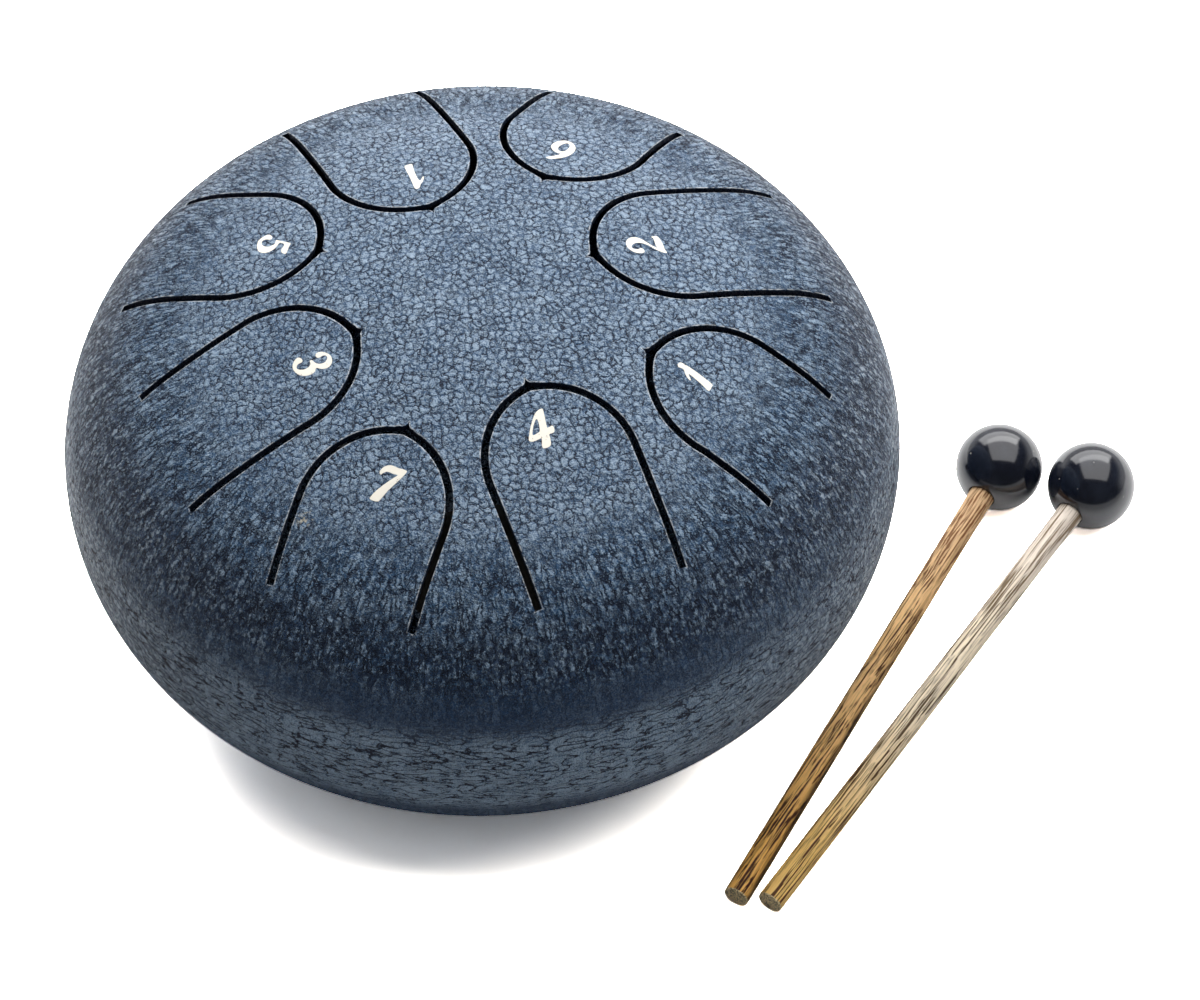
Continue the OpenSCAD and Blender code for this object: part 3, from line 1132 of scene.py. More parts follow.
@dataclass
class TongueCuts:
    """The plan of the eight cuts that free the tongues."""

    form: DrumForm
    slot: float = 1.3 * MM
    end_inset: float = 14.7 * MM
    long_length: float = 40.1 * MM
    long_step: float = 0.45 * MM
    short_length: float = 31.3 * MM
    short_step: float = 0.7 * MM
    web_half: float = 1.4 * MM
    cusp: float = 1.3 * MM
    first_angle: float = math.radians(110.6)
    arc_share: float = 1.143
    long_count: int = 4
    straight_steps: int = 23
    curve_steps: int = 26
    cusp_steps: int = 6

    # How far each cut's closed ends lie from true, outwards and to the left, in millimetres, with
    # the left end first. The cuts aren't quite regular.
    END_SHIFTS = {
        Numeral.LOW_ONE: ((0.3, 0.2), (1.2, 0.3)),
        Numeral.SIX: ((0.5, -1.7), (-1.2, -1.6)),
        Numeral.TWO: ((1.1, -1.0), (0.5, -1.3)),
        Numeral.HIGH_ONE: ((0.6, -1.5), (-0.7, -1.8)),
        Numeral.FOUR: ((-0.8, -0.5), (-1.8, -0.3)),
        Numeral.SEVEN: ((1.3, 0.5), (0.9, 0.6)),
        Numeral.THREE: ((-1.3, 2.2), (-1.8, 2.3)),
        Numeral.FIVE: ((1.9, 1.2), (1.6, 0.7)),
    }

    @property
    def pitch(self) -> float:
        """Angle from one tongue to the next."""
        return math.tau / len(Numeral)

    @property
    def root(self) -> float:
        """Distance from the axis to the closed ends of the cuts."""
        return self.form.radius - self.end_inset

    @property
    def rise_share(self) -> float:
        """Length of a tip's arcs along the tongue, as a share of its half width."""
        return math.sqrt(self.arc_share**2 - (self.arc_share - 1) ** 2)

    @property
    def half_width(self) -> float:
        """Half width of a tongue, from its middle line to the cut's middle."""
        half = self.pitch / 2
        room = (self.root - self.long_length) * math.sin(half) - self.slot / 2 - self.web_half
        return room / (math.cos(half) - self.rise_share * math.sin(half))

    def tip(self, numeral: Numeral) -> float:
        """Distance from the axis to the middle of the cut at a tongue's tip."""
        note = int(numeral.value)
        if note <= self.long_count:
            return self.root - self.long_length + (note - 1) * self.long_step
        return self.root - self.short_length + (note - self.long_count - 1) * self.short_step

    def side_of(self, numeral: Numeral, inner: bool) -> list[Point]:
        """Lists one edge of the cut along its left half, from the closed end to the tip."""
        half = self.half_width
        big = self.arc_share * half
        off = big - half
        spring = self.tip(numeral) + self.rise_share * half
        aside = -self.slot / 2 if inner else self.slot / 2
        lengths = np.linspace(self.root, spring, self.straight_steps + 1)[:-1]
        straight = [(float(x), half + aside) for x in lengths]
        stop = 0.0 if inner else self.cusp
        last = 180 - math.degrees(math.asin((off + stop) / (big + aside)))
        curve = arc((spring, -off), big + aside, 90, last, self.curve_steps)
        if inner:
            return straight + curve
        edge = spring - math.sqrt((big + aside) ** 2 - off**2)
        middle = (edge - self.cusp, self.cusp)
        return straight + curve[:-1] + arc(middle, self.cusp, 0, -90, self.cusp_steps)

    def outline(self, numeral: Numeral) -> np.ndarray:
        """Gives the whole outline of one cut, counter-clockwise, in the drum's plan."""
        spring = self.tip(numeral) + self.rise_share * self.half_width
        outer = self.side_of(numeral, inner=False)
        inner = self.side_of(numeral, inner=True)
        half = self.half_width
        loop = outer + [(x, -y) for x, y in reversed(outer[:-1])] + [(self.root, -half)]
        loop += [(x, -y) for x, y in inner] + list(reversed(inner[:-1])) + [(self.root, half)]
        own = np.array(loop)
        share = np.maximum(own[:, 0] - spring, 0.0) / (self.root - spring)
        left, right = np.array(self.END_SHIFTS[numeral]) * MM
        own += share[:, None] * np.where(own[:, 1:] > 0, left, right)
        after = np.roll(own, -1, axis=0)
        if np.sum(own[:, 0] * after[:, 1] - after[:, 0] * own[:, 1]) < 0:
            own = own[::-1]
        return turned(own, self.first_angle - list(Numeral).index(numeral) * self.pitch)


@dataclass
class UpperShell:
    """The stamped upper half, with rounded edges along its cuts."""

    form: DrumForm
    cuts: TongueCuts
    paint: bpy.types.Material
    lip: float = 0.16 * MM
    support: float = 0.14 * MM
    mesh_step: float = 1.5 * MM
    inner_step: float = 3.4 * MM
    rim_count: int = 240
    rim_room: float = 0.4
    line_room: float = 0.55
    lip_steps: int = 3
    longest_corner: float = 0.7

    def build(self) -> bpy.types.Object:
        """Makes the shell as one closed piece."""
        outlines = [self.cuts.outline(n) for n in Numeral]
        outs = [self.outward(line) for line in outlines]
        lips = [line + out * self.lip for line, out in zip(outlines, outs)]
        supports = [line + out * (self.lip + self.support) for line, out in zip(outlines, outs)]
        outer, faces, lip_rows, outer_rim = self.skin(lips, supports, self.mesh_step, 0.0)
        inner, inner_faces, inner_rows, inner_rim = self.skin(
            outlines, [], self.inner_step, self.form.wall
        )
        base = len(outer)
        points = [outer, inner]
        faces += shifted(inner_faces, base, flipped=True)
        count = base + len(inner)
        # Rows along the cuts' edges get a painted highlight, and rows down their walls painted
        # shade.
        bright: list[int] = []
        dark: list[int] = []
        for line, out, lip_row, inner_row in zip(outlines, outs, lip_rows, inner_rows):
            rows = [list(lip_row)]
            for k in range(1, self.lip_steps + 1):
                turn = math.pi / 2 * k / self.lip_steps
                plan = line + out * self.lip * (1 - math.sin(turn))
                points.append(self.form.lift(plan, self.lip * (1 - math.cos(turn))))
                rows.append(list(range(count, count + len(line))))
                count += len(line)
            rows.append([base + i for i in inner_row])
            bright += [i for row in rows[:2] for i in row]
            dark += [i for row in rows[3:] for i in row]
            faces += [face for row, after in zip(rows, rows[1:]) for face in band(row, after)]
        faces += band([base + i for i in inner_rim], outer_rim)

        def mark_cut_light(mesh: bpy.types.Mesh) -> None:
            """Marks the cuts' edges for a painted highlight with 1 and their walls for painted
            shade with -1.
            """
            share = np.zeros(len(mesh.vertices), np.float32)
            share[bright] = 1.0
            share[dark] = -1.0
            mesh.attributes.new("painted_cut_light", "FLOAT", "POINT").data.foreach_set("value", share)
            point_outwards(mesh)

        shell = make_piece("upper_shell", np.vstack(points), faces, self.paint, mark_cut_light)
        return settle(shell, "drum", [Half.UPPER.value])

    def outward(self, line: np.ndarray) -> np.ndarray:
        """Gives the direction away from a cut at each of its points, longer at corners."""
        normals = []
        for edge in (line - np.roll(line, 1, axis=0), np.roll(line, -1, axis=0) - line):
            across = np.column_stack([edge[:, 1], -edge[:, 0]])
            normals.append(across / np.linalg.norm(across, axis=1, keepdims=True))
        middle = normals[0] + normals[1]
        middle /= np.maximum(np.linalg.norm(middle, axis=1, keepdims=True), NEARLY_NONE)
        leaning = np.sum(middle * normals[0], axis=1, keepdims=True)
        return middle / np.maximum(leaning, self.longest_corner)

    def skin(
        self,
        holes: Sequence[np.ndarray],
        supports: Sequence[np.ndarray],
        step: float,
        inset: float,
    ) -> tuple[np.ndarray, Faces, list[list[int]], list[int]]:
        """Meshes one face of the shell round the cuts.

        Args:
            holes: outlines of the cuts, in the drum's plan.
            supports: further lines round them that the mesh follows.
            step: rough length of the mesh's edges.
            inset: 0 for the outer face, and the wall's thickness for the inner one.

        Returns:
            Points in the frame of the whole set, faces, each hole's points and the rim's.
        """
        form = self.form
        loops = [self.unroll(line, inset) for line in [*holes, *supports]]
        near = np.vstack(loops)
        edge_run = float(form.run_at(np.array([math.pi / 2]), inset)[0])
        loops.append(edge_run * ring(self.rim_count))
        loose = [np.zeros((1, 2))]
        for number, run in enumerate(np.arange(step, edge_run - self.rim_room * step, step)):
            count = max(6, round(math.tau * run / step))
            row = run * ring(count, 0.5 * (number % 2))
            gap = np.min(np.linalg.norm(row[:, None, :] - near[None, :, :], axis=2), axis=1)
            loose.append(row[gap > self.line_room * step])
        placed, faces, rows = fill(loops, np.vstack(loose), False, range(len(holes)))
        run = np.hypot(placed[:, 0], placed[:, 1])
        distance, height = form.place_at(form.angle_of_run(run, inset), inset)
        share = np.where(run > NEARLY_NONE, distance / np.maximum(run, NEARLY_NONE), 0.0)[:, None]
        solid = np.column_stack([placed * share, height]) + (form.axis_x, 0.0, form.equator_z)
        return solid, faces, rows[: len(holes)], rows[-1]

    def unroll(self, plan: np.ndarray, inset: float) -> np.ndarray:
        """Stretches a plan so that distances from the axis are lengths along the face."""
        distance = np.hypot(plan[:, 0], plan[:, 1])
        run = self.form.run_at(self.form.angle_at(distance, inset), inset)
        return plan * (run / distance)[:, None]


@dataclass
class LowerShell:
    """The stamped lower half, with the sound hole's turned-in rim."""

    form: DrumForm
    paint: bpy.types.Material
    hole_radius: float = 17.0 * MM
    bend_radius: float = 1.5 * MM
    rim_height: float = 1.2 * MM
    steps: int = 240
    outer_steps: int = 90
    inner_steps: int = 60
    outer_bend_steps: int = 14
    inner_bend_steps: int = 10

    def build(self) -> bpy.types.Object:
        """Makes the shell as one closed piece."""
        form, wall = self.form, self.form.wall
        bend_x = self.hole_radius + wall + self.bend_radius
        reach = form.dome_radius - wall - self.bend_radius
        lean = math.asin(bend_x / reach)
        bend_y = reach * math.cos(lean) - form.dome_drop
        turn_in = 90 - math.degrees(lean)
        bottom = bend_y - self.rim_height
        middle = (bend_x, bend_y)
        outer = form.place_at(np.linspace(lean, math.pi / 2, self.outer_steps)[1:])
        inner = form.place_at(np.linspace(math.pi / 2, lean, self.inner_steps), wall)
        profile = [(self.hole_radius + wall, bottom), (self.hole_radius, bottom)]
        profile += arc(middle, self.bend_radius + wall, 180, turn_in, self.outer_bend_steps)
        profile += [(float(x), float(y)) for x, y in zip(*outer)]
        profile += [(float(x), float(y)) for x, y in zip(*inner)]
        profile += arc(middle, self.bend_radius, turn_in, 180, self.inner_bend_steps)[1:]
        points, faces = lathe(profile, self.steps)
        points = points * (1.0, 1.0, -1.0) + (form.axis_x, 0.0, form.equator_z)
        shell = make_piece("lower_shell", points, faces, self.paint, point_outwards)
        return settle(shell, "drum", [Half.LOWER.value])


@dataclass
class Numerals:
    """The foil numerals at the tongues' tips, tops towards the middle."""

    form: DrumForm
    foil: bpy.types.Material
    grid: float = 0.21 * MM
    grid_middle: float = 20.0
    thickness: float = 0.05 * MM

    # Distance of each numeral's middle from the drum's axis, and its direction.
    PLACES = {
        Numeral.LOW_ONE: (32.3 * MM, math.radians(109.1)),
        Numeral.SIX: (41.6 * MM, math.radians(66.1)),
        Numeral.TWO: (32.8 * MM, math.radians(20.6)),
        Numeral.HIGH_ONE: (41.9 * MM, math.radians(-24.8)),
        Numeral.FOUR: (32.2 * MM, math.radians(-71.6)),
        Numeral.SEVEN: (42.6 * MM, math.radians(-113.3)),
        Numeral.THREE: (32.8 * MM, math.radians(-155.1)),
        Numeral.FIVE: (40.2 * MM, math.radians(155.6)),
    }
    # Outlines on a grid of 40 by 40 with y downwards. The first is the outside.
    SHAPES = {
        "1": [
            [
                (25, 1.5), (26.2, 3.5), (25.6, 11), (24.6, 22), (23.6, 36.8), (21.2, 38.4),
                (17, 38.2), (16.5, 36.4), (18.2, 27), (19, 19), (19.1, 13.4), (18.2, 11.6),
                (16.4, 13.4), (14.2, 15.6), (13.5, 15), (15.2, 11.6), (17.2, 8.6), (19.8, 6.2),
                (21.4, 3.2), (23.2, 1.8),
            ],
        ],
        "8": [
            [
                (22, 3.9), (24.6, 4.4), (25.6, 6.5), (25, 9.4), (25.2, 12), (24, 20), (22, 29),
                (20.2, 36), (18, 36.6), (13.2, 36.4), (12.4, 34.8), (15, 28), (17.4, 20),
                (18.4, 15.8), (17.2, 15.8), (14.5, 18.6), (13, 18.8), (14, 16), (17, 12.6),
                (20, 10), (20.2, 7.4), (20, 5.2),
            ],
        ],
        "2": [
            [
                (12.2, 15.8), (11.6, 13.5), (12.4, 10), (15, 6.6), (19, 4.4), (23, 3.9),
                (27.5, 5.4), (30.6, 8.8), (31.5, 12.8), (30.4, 16.8), (27.2, 20.2), (22.5, 23.2),
                (18, 26.2), (15, 29.2), (18, 29.2), (22.5, 30), (26.5, 30.6), (28.6, 29.6),
                (28.9, 32), (28.4, 34.9), (24, 36), (18, 35.9), (12, 35), (7.8, 35.3),
                (8.2, 32.8), (11, 29.4), (15, 25.8), (19.6, 22.4), (22.6, 18.8), (24.2, 14.5),
                (23.6, 10.5), (21.6, 8), (19.4, 7.6), (17.2, 9.4), (16.6, 12), (17.4, 14.6),
                (16.2, 16.3), (13.8, 16.6),
            ],
        ],
        "3": [
            [
                (12.4, 13), (12, 10.5), (14, 7), (18, 4.4), (22, 3.2), (27, 4.4), (30.4, 7.6),
                (31, 11.5), (29, 15.5), (25.5, 18.6), (28, 21.2), (28.6, 25), (27, 29.6),
                (23.5, 33.2), (18, 35.2), (12.5, 35), (8.2, 32), (6.2, 28.6), (7, 26),
                (9.6, 24.8), (12, 25.4), (12.6, 27.5), (12.4, 29.8), (14, 31.8), (16.6, 32.2),
                (19.2, 30), (20.8, 26.5), (20.4, 23), (18.5, 20.9), (15.7, 20.2), (15.8, 18.3),
                (18.6, 17.6), (21.8, 16.2), (24, 13.5), (24.5, 10), (22.8, 7.2), (20.6, 6.2),
                (18.8, 6.6), (17.4, 8.6), (17.6, 11), (16.8, 13.2), (14.6, 13.9),
            ],
        ],
        "4": [
            [
                (24.5, 3.8), (27.6, 3.6), (28, 5.5), (27, 12), (25.8, 19), (26, 21.6), (30, 20.8),
                (31, 22.6), (30.6, 25.2), (29, 27.2), (25.2, 27.6), (24.6, 31), (23.2, 36.6),
                (19.8, 38.4), (16, 38), (15.6, 35.6), (17, 31.5), (17.4, 28.9), (13, 29.6),
                (8.4, 29.4), (7, 27.4), (8.6, 23.6), (12, 17.5), (16.6, 10.8), (20.4, 6.2),
            ],
            [
                (20.3, 11.6), (20.4, 14.5), (19.2, 20.5), (18.2, 22.8), (15, 24), (11.8, 24.2),
                (12.4, 21.4), (15.5, 16), (18.8, 11.8),
            ],
        ],
        "5": [
            [
                (16, 5.6), (20, 5.4), (25, 4.6), (28.3, 4.6), (28.5, 6.2), (27, 9.4),
                (23.5, 10.8), (19.5, 10.4), (17.2, 11.4), (16.4, 14.4), (16.6, 16.2),
                (19.5, 16.5), (24, 17.6), (28, 20.6), (30, 24.6), (29.2, 29.5), (26, 33),
                (21, 35.6), (16, 36.6), (11.5, 34.8), (8.2, 31.4), (8.4, 28), (10.4, 25.8),
                (13, 25.6), (13.8, 27.6), (13.6, 29.8), (15.2, 32.4), (18, 32.6), (20.8, 30.6),
                (22.4, 27), (22, 23.4), (19.6, 20.6), (17, 19.8), (14.4, 20.6), (13.6, 19.6),
                (14.2, 15), (15, 9),
            ],
        ],
        "6": [
            [
                (27.5, 1), (28.4, 2), (27, 3.6), (23.6, 6.6), (20.5, 10), (19.4, 12.9),
                (21.5, 12.7), (25, 13.6), (28.6, 16), (31.4, 20.4), (31.3, 25.5), (29, 30.5),
                (25, 34), (20, 35), (15, 33), (11.6, 28.6), (10.2, 23.5), (10.4, 18.4),
                (12, 13.4), (15, 8.6), (19.5, 4.2), (24, 1.2),
            ],
            [
                (20.4, 16.6), (23, 17.4), (24.8, 20.5), (24.6, 25), (23, 29), (20.5, 31.6),
                (18.2, 30.6), (16.6, 27), (16.6, 22), (18, 18.2),
            ],
        ],
        "7": [
            [
                (10.6, 14.8), (10.2, 12.5), (12, 8.6), (15.5, 6.2), (19, 5.6), (24, 6.2), (28, 6),
                (31.6, 6.6), (31.6, 8.8), (29, 15), (25.6, 21.5), (22.4, 28), (19.4, 36),
                (17.6, 38), (14, 38.3), (10.6, 37.6), (10.8, 35.4), (13.5, 29.5), (18, 22.5),
                (22.5, 16.4), (25.4, 12.8), (25.2, 12), (22, 12.2), (18, 11.8), (15.6, 12),
                (13.6, 13.6), (12, 15.6),
            ],
        ],
    }

    def build(self) -> bpy.types.Object:
        """Makes all numerals as one thin piece that follows the shell."""
        points: list[np.ndarray] = []
        faces: Faces = []
        count = 0
        for numeral in Numeral:
            loops = [self.rounded(np.array(loop)) for loop in self.SHAPES[numeral.value]]
            flat, triangles, rows = fill(loops, np.zeros((0, 2)), True, range(1, len(loops)))
            distance, direction = self.PLACES[numeral]
            own = (flat[:, ::-1] - self.grid_middle) * self.grid + (distance, 0.0)
            plan = turned(own, direction)
            size = len(flat)
            points += [self.form.lift(plan, sink * self.thickness) for sink in (-1.0, 0.5)]
            faces += shifted(triangles, count) + shifted(triangles, count + size, flipped=True)
            for row in rows:
                faces += band([count + i for i in row], [count + size + i for i in row])
            count += 2 * size
        piece = make_piece("tongue_numerals", np.vstack(points), faces, self.foil, point_outwards)
        return settle(piece, "drum")

    @staticmethod
    def rounded(loop: np.ndarray) -> np.ndarray:
        """Draws a smooth closed line through the points of a loop."""
        p0, p1, p2, p3 = (np.roll(loop, k, axis=0) for k in (1, 0, -1, -2))
        pieces = []
        for t in (0.0, 0.25, 0.5, 0.75):
            bend = (2 * p0 - 5 * p1 + 4 * p2 - p3) * t**2 + (3 * p1 - p0 - 3 * p2 + p3) * t**3
            pieces.append(p1 + 0.5 * ((p2 - p0) * t + bend))
        return np.stack(pieces, axis=1).reshape(-1, 2)


@dataclass
class SeamWeld:
    """The weld's root bead, which runs round the inside of the seam."""

    form: DrumForm
    steel: bpy.types.Material
    inset: float = 1.6 * MM
    bead_radius: float = 1.15 * MM
    ripple: float = 0.16
    ripple_length: float = 2.2 * MM
    drift: float = 1.4
    drift_scale: float = 260.0
    steps: int = 720
    section_steps: int = 12

    def build(self) -> bpy.types.Object:
        """Grows the bead along the seam."""
        growth = GrowthTree("seam_bead")
        bench = growth.bench
        radius = growth.size("Path Radius", self.form.radius - self.inset)
        middle = growth.size("Seam Middle", (self.form.axis_x, 0.0, self.form.equator_z))
        thick = growth.size("Bead Radius", self.bead_radius)
        ripple = growth.size("Ripple", self.ripple)
        length = growth.size("Ripple Length", self.ripple_length)
        seed = growth.size("Seed", 3)
        circle = "GeometryNodeCurvePrimitiveCircle"
        path = bench.node(circle, Resolution=self.steps, Radius=radius)
        along = bench.node("GeometryNodeSplineParameter").outputs["Length"]
        wave = bench.math("SINE", bench.times(bench.math("DIVIDE", along, length), math.tau))
        place = bench.node("GeometryNodeInputPosition").outputs["Position"]
        drift = bench.node(
            "ShaderNodeTexNoise",
            {"noise_dimensions": "4D"},
            Vector=place,
            W=seed,
            Scale=self.drift_scale,
        )
        uneven = bench.plus(bench.times(drift.outputs[0], self.drift), -self.drift / 2)
        share = bench.plus(bench.times(bench.plus(wave, uneven), ripple), 1.0)
        swell = bench.node("GeometryNodeSetCurveRadius", Curve=path.outputs["Curve"], Radius=share)
        section = bench.node(circle, Resolution=self.section_steps, Radius=thick)
        tube = bench.node(
            "GeometryNodeCurveToMesh",
            Curve=swell.outputs["Curve"],
            Profile_Curve=section.outputs["Curve"],
        )
        moved = bench.node(
            "GeometryNodeTransform", Geometry=tube.outputs["Mesh"], Translation=middle
        )
        growth.close(moved.outputs["Geometry"])
        bead = growth.grow("seam_bead", make_mesh("seam_start", [(0, 0, 0)], []), self.steel)
        return settle(bead, "drum", ["seam_weld"])


@dataclass
class FootSet:
    """The four rubber feet with their washers, screws and nuts, square to the lower shell."""

    form: DrumForm
    rubber: bpy.types.Material
    plating: bpy.types.Material
    count: int = 4
    first_angle: float = math.radians(45)
    seat_radius: float = 38.0 * MM
    top_radius: float = 7.0 * MM
    sole_radius: float = 5.75 * MM
    clamp: float = 3.5 * MM
    seat_gap: float = 0.05 * MM
    bore_radius: float = 1.7 * MM
    pocket_radius: float = 3.7 * MM
    edge: float = 0.45 * MM
    edge_bend: float = 0.29
    rim_edge: Point = (0.1 * MM, 0.3 * MM)
    foot_steps: int = 72
    washer_radius: float = 3.5 * MM
    washer_thickness: float = 0.5 * MM
    washer_edge: float = 0.08 * MM
    washer_steps: int = 64
    shank_radius: float = 1.5 * MM
    thread_pitch: float = 0.5 * MM
    thread_share: float = 0.86
    thread_show: float = 0.4 * MM
    head_radius: float = 2.8 * MM
    head_height: float = 2.2 * MM
    head_crown: float = 3.9 * MM
    head_rim: tuple[float, ...] = (0.75, 0.83, 0.90, 0.96, 1.0)
    screw_steps: int = 48
    recess_length: float = 3.2 * MM
    recess_width: float = 0.8 * MM
    recess_depth: float = 1.2 * MM
    nut_flats: float = 5.5 * MM
    nut_height: float = 2.4 * MM
    nut_lift: float = 1.26 * MM
    nut_face: float = 0.93
    nut_slope: float = 0.6
    nut_bore: float = 1.02

    @property
    def tilt(self) -> float:
        """Lean of a foot's axis, square to the shell."""
        return math.asin(self.seat_radius / self.form.dome_radius)

    @property
    def length(self) -> float:
        """Length of a foot's axis, from the shell to the table."""
        form = self.form
        return (form.equator_z + form.dome_drop) / math.cos(self.tilt) - form.dome_radius

    @property
    def head_z(self) -> float:
        """Where the screw's head meets the washer, along a foot's axis."""
        return -self.clamp - self.washer_thickness

    def build(self) -> None:
        """Makes the feet and their fasteners, each once, and repeats them round the drum's axis."""
        growth = self.ring_tree()
        for name, node, made, finish, slot in (
            ("feet", "foot", self.foot(), self.rubber, "foot_rubber"),
            ("foot_washers", "foot_washer", self.washer(), self.plating, "fastener_steel"),
            ("foot_screws", "foot_screw", self.screw(), self.plating, "fastener_steel"),
            ("foot_nuts", "foot_nut", self.nut(), self.plating, "fastener_steel"),
        ):
            piece = growth.grow(name, make_mesh(f"{name}_start", *made), finish)
            settle(piece, "drum", [f"{node}_{i + 1}" for i in range(self.count)])

    def ring_tree(self) -> GrowthTree:
        """Builds the tree that repeats one mesh round the drum's axis."""
        growth = GrowthTree("foot_ring")
        bench = growth.bench
        count = growth.size("Count", self.count)
        first = growth.size("First Angle", self.first_angle)
        axis = growth.size("Drum Axis", (self.form.axis_x, 0.0, 0.0))
        seats = bench.node("GeometryNodePoints", Count=count, Position=axis)
        index = bench.node("GeometryNodeInputIndex").outputs["Index"]
        angle = bench.plus(bench.times(bench.math("DIVIDE", index, count), math.tau), first)
        heading = bench.node("FunctionNodeEulerToRotation", Euler=bench.join(z=angle))
        placed = bench.node(
            "GeometryNodeInstanceOnPoints",
            Points=seats.outputs[0],
            Instance=growth.inlet.outputs["Geometry"],
            Rotation=heading.outputs[0],
        )
        growth.close(placed.outputs["Instances"])
        return growth

    def leaned(self, own: np.ndarray) -> np.ndarray:
        """Turns directions from a foot's own axis to the seat on the +X side."""
        c, s = math.cos(self.tilt), math.sin(self.tilt)
        x, y, z = own.T
        return np.column_stack([x * c - z * s, y, x * s + z * c])

    def seated(self, own: np.ndarray) -> np.ndarray:
        """Moves points from a foot's own axis, which starts at the shell, to the +X side's seat."""
        from_centre = own - (0.0, 0.0, self.form.dome_radius)
        return self.leaned(from_centre) + (0.0, 0.0, self.form.equator_z + self.form.dome_drop)

    def foot(self) -> tuple[np.ndarray, Faces]:
        """Makes a foot: a cone that fits the shell above and is cut level with the table."""
        steps, sphere = self.foot_steps, self.form.dome_radius + self.seat_gap
        bent = self.edge_bend * self.edge
        taper = (self.top_radius - self.sole_radius) / self.length
        rim = self.form.dome_radius - math.sqrt(sphere**2 - self.top_radius**2)
        sole = [
            (self.pocket_radius, 0.0, 0.0),
            (self.sole_radius - self.edge, taper, 0.0),
            (self.sole_radius - bent, taper, bent),
            (self.sole_radius + taper * self.edge, taper, self.edge),
        ]
        profile = [(radius, level - self.length) for radius, _, level in sole]
        inwards, down = self.rim_edge
        profile += [(self.top_radius - inwards, rim - down), (self.top_radius, rim)]
        for radius in np.linspace(self.top_radius, self.bore_radius, 8)[1:]:
            level = self.form.dome_radius - math.sqrt(sphere**2 - radius**2)
            profile.append((float(radius), level))
        profile += [(self.bore_radius, -self.clamp), (self.pocket_radius, -self.clamp)]
        local, faces = lathe(profile, steps)
        points = self.seated(local)
        for number, (radius, slope, level) in enumerate(sole):
            row = slice(number * steps, (number + 1) * steps)
            around = local[row, :2] / radius
            way = self.leaned(np.column_stack([-slope * around, -np.ones(steps)]))
            points[row] += way * ((level - points[row, 2]) / way[:, 2])[:, None]
        return points, faces

    def washer(self) -> tuple[np.ndarray, Faces]:
        """Makes a flat washer with slightly rounded rims."""
        low, high, soft = self.head_z, -self.clamp, self.washer_edge
        outer, inner = self.washer_radius, self.bore_radius
        profile = [(inner, low), (outer - soft, low), (outer, low + soft), (outer, high - soft)]
        profile += [(outer - soft, high), (inner, high)]
        points, faces = lathe(profile, self.washer_steps)
        return self.seated(points), faces

    def screw(self) -> tuple[np.ndarray, Faces]:
        """Makes a pan-head screw with a cross recess and a threaded shank."""
        steps, bottom = self.screw_steps, self.head_z - self.head_height
        rim = self.head_rim[0] * self.head_radius * ring(steps)
        a, b = self.recess_width / 2, self.recess_length / 2
        arm = np.array([(b, -a), (b, a), (a, a)])
        cross = np.vstack([turned(arm, k * math.pi / 2) for k in range(4)])
        cap, cap_faces, (rim_row, cross_row) = fill([rim, cross], np.zeros((0, 2)), True, [1])
        floor, floor_faces, (floor_row,) = fill([cross], np.zeros((0, 2)), True, [])
        points = [np.column_stack([cap, self.crown(np.hypot(cap[:, 0], cap[:, 1]))])]
        points.append(np.column_stack([floor, np.full(len(floor), bottom + self.recess_depth)]))
        faces = cap_faces + shifted(floor_faces, len(cap))
        faces += band([len(cap) + i for i in floor_row], cross_row)
        start = len(cap) + len(floor)
        radii = self.head_radius * np.array(self.head_rim[1:])
        profile = list(zip(radii.tolist(), self.crown(radii).tolist()))
        profile += [(self.head_radius, self.head_z), (self.shank_radius, self.head_z)]
        top = self.nut_lift + self.nut_height + self.thread_show
        root = self.thread_share * self.shank_radius
        for k in range(int((top - self.thread_pitch - self.head_z) / self.thread_pitch)):
            crest = self.head_z + (k + 0.25) * self.thread_pitch
            profile += [(self.shank_radius, crest), (root, crest + 0.5 * self.thread_pitch)]
        profile += [(root, top), (0.0, top)]
        shank, shank_faces = lathe(profile, steps)
        points.append(shank)
        faces += shifted(shank_faces, start)
        faces += band(rim_row, list(range(start, start + steps)))
        return self.seated(np.vstack(points)), faces

    def crown(self, distance: np.ndarray) -> np.ndarray:
        """Gives the height of the screw head's rounded face."""
        bottom = self.head_z - self.head_height
        return bottom + self.head_crown - np.sqrt(self.head_crown**2 - distance**2)

    def nut(self) -> tuple[np.ndarray, Faces]:
        """Makes a hexagon nut with its corners turned down."""
        steps = self.screw_steps
        angles = np.arange(steps) * (math.tau / steps)
        ways = ring(steps)
        flat, low, high = self.nut_flats / 2, self.nut_lift, self.nut_lift + self.nut_height
        hexagon = flat / np.cos((angles % (math.pi / 3)) - math.pi / 6)
        face = self.nut_face * flat
        turned_down = high - (hexagon - face) * self.nut_slope
        bore = self.nut_bore * self.shank_radius
        rings = [(bore, low), (hexagon, low), (hexagon, turned_down), (face, high), (bore, high)]
        points = [
            np.column_stack([ways * np.broadcast_to(r, steps)[:, None], np.broadcast_to(z, steps)])
            for r, z in rings
        ]
        rows = [list(range(k * steps, (k + 1) * steps)) for k in range(len(rings))]
        faces = [f for row, after in zip(rows, rows[1:] + rows[:1]) for f in band(row, after)]
        return self.seated(np.vstack(points)), faces


# The mallets


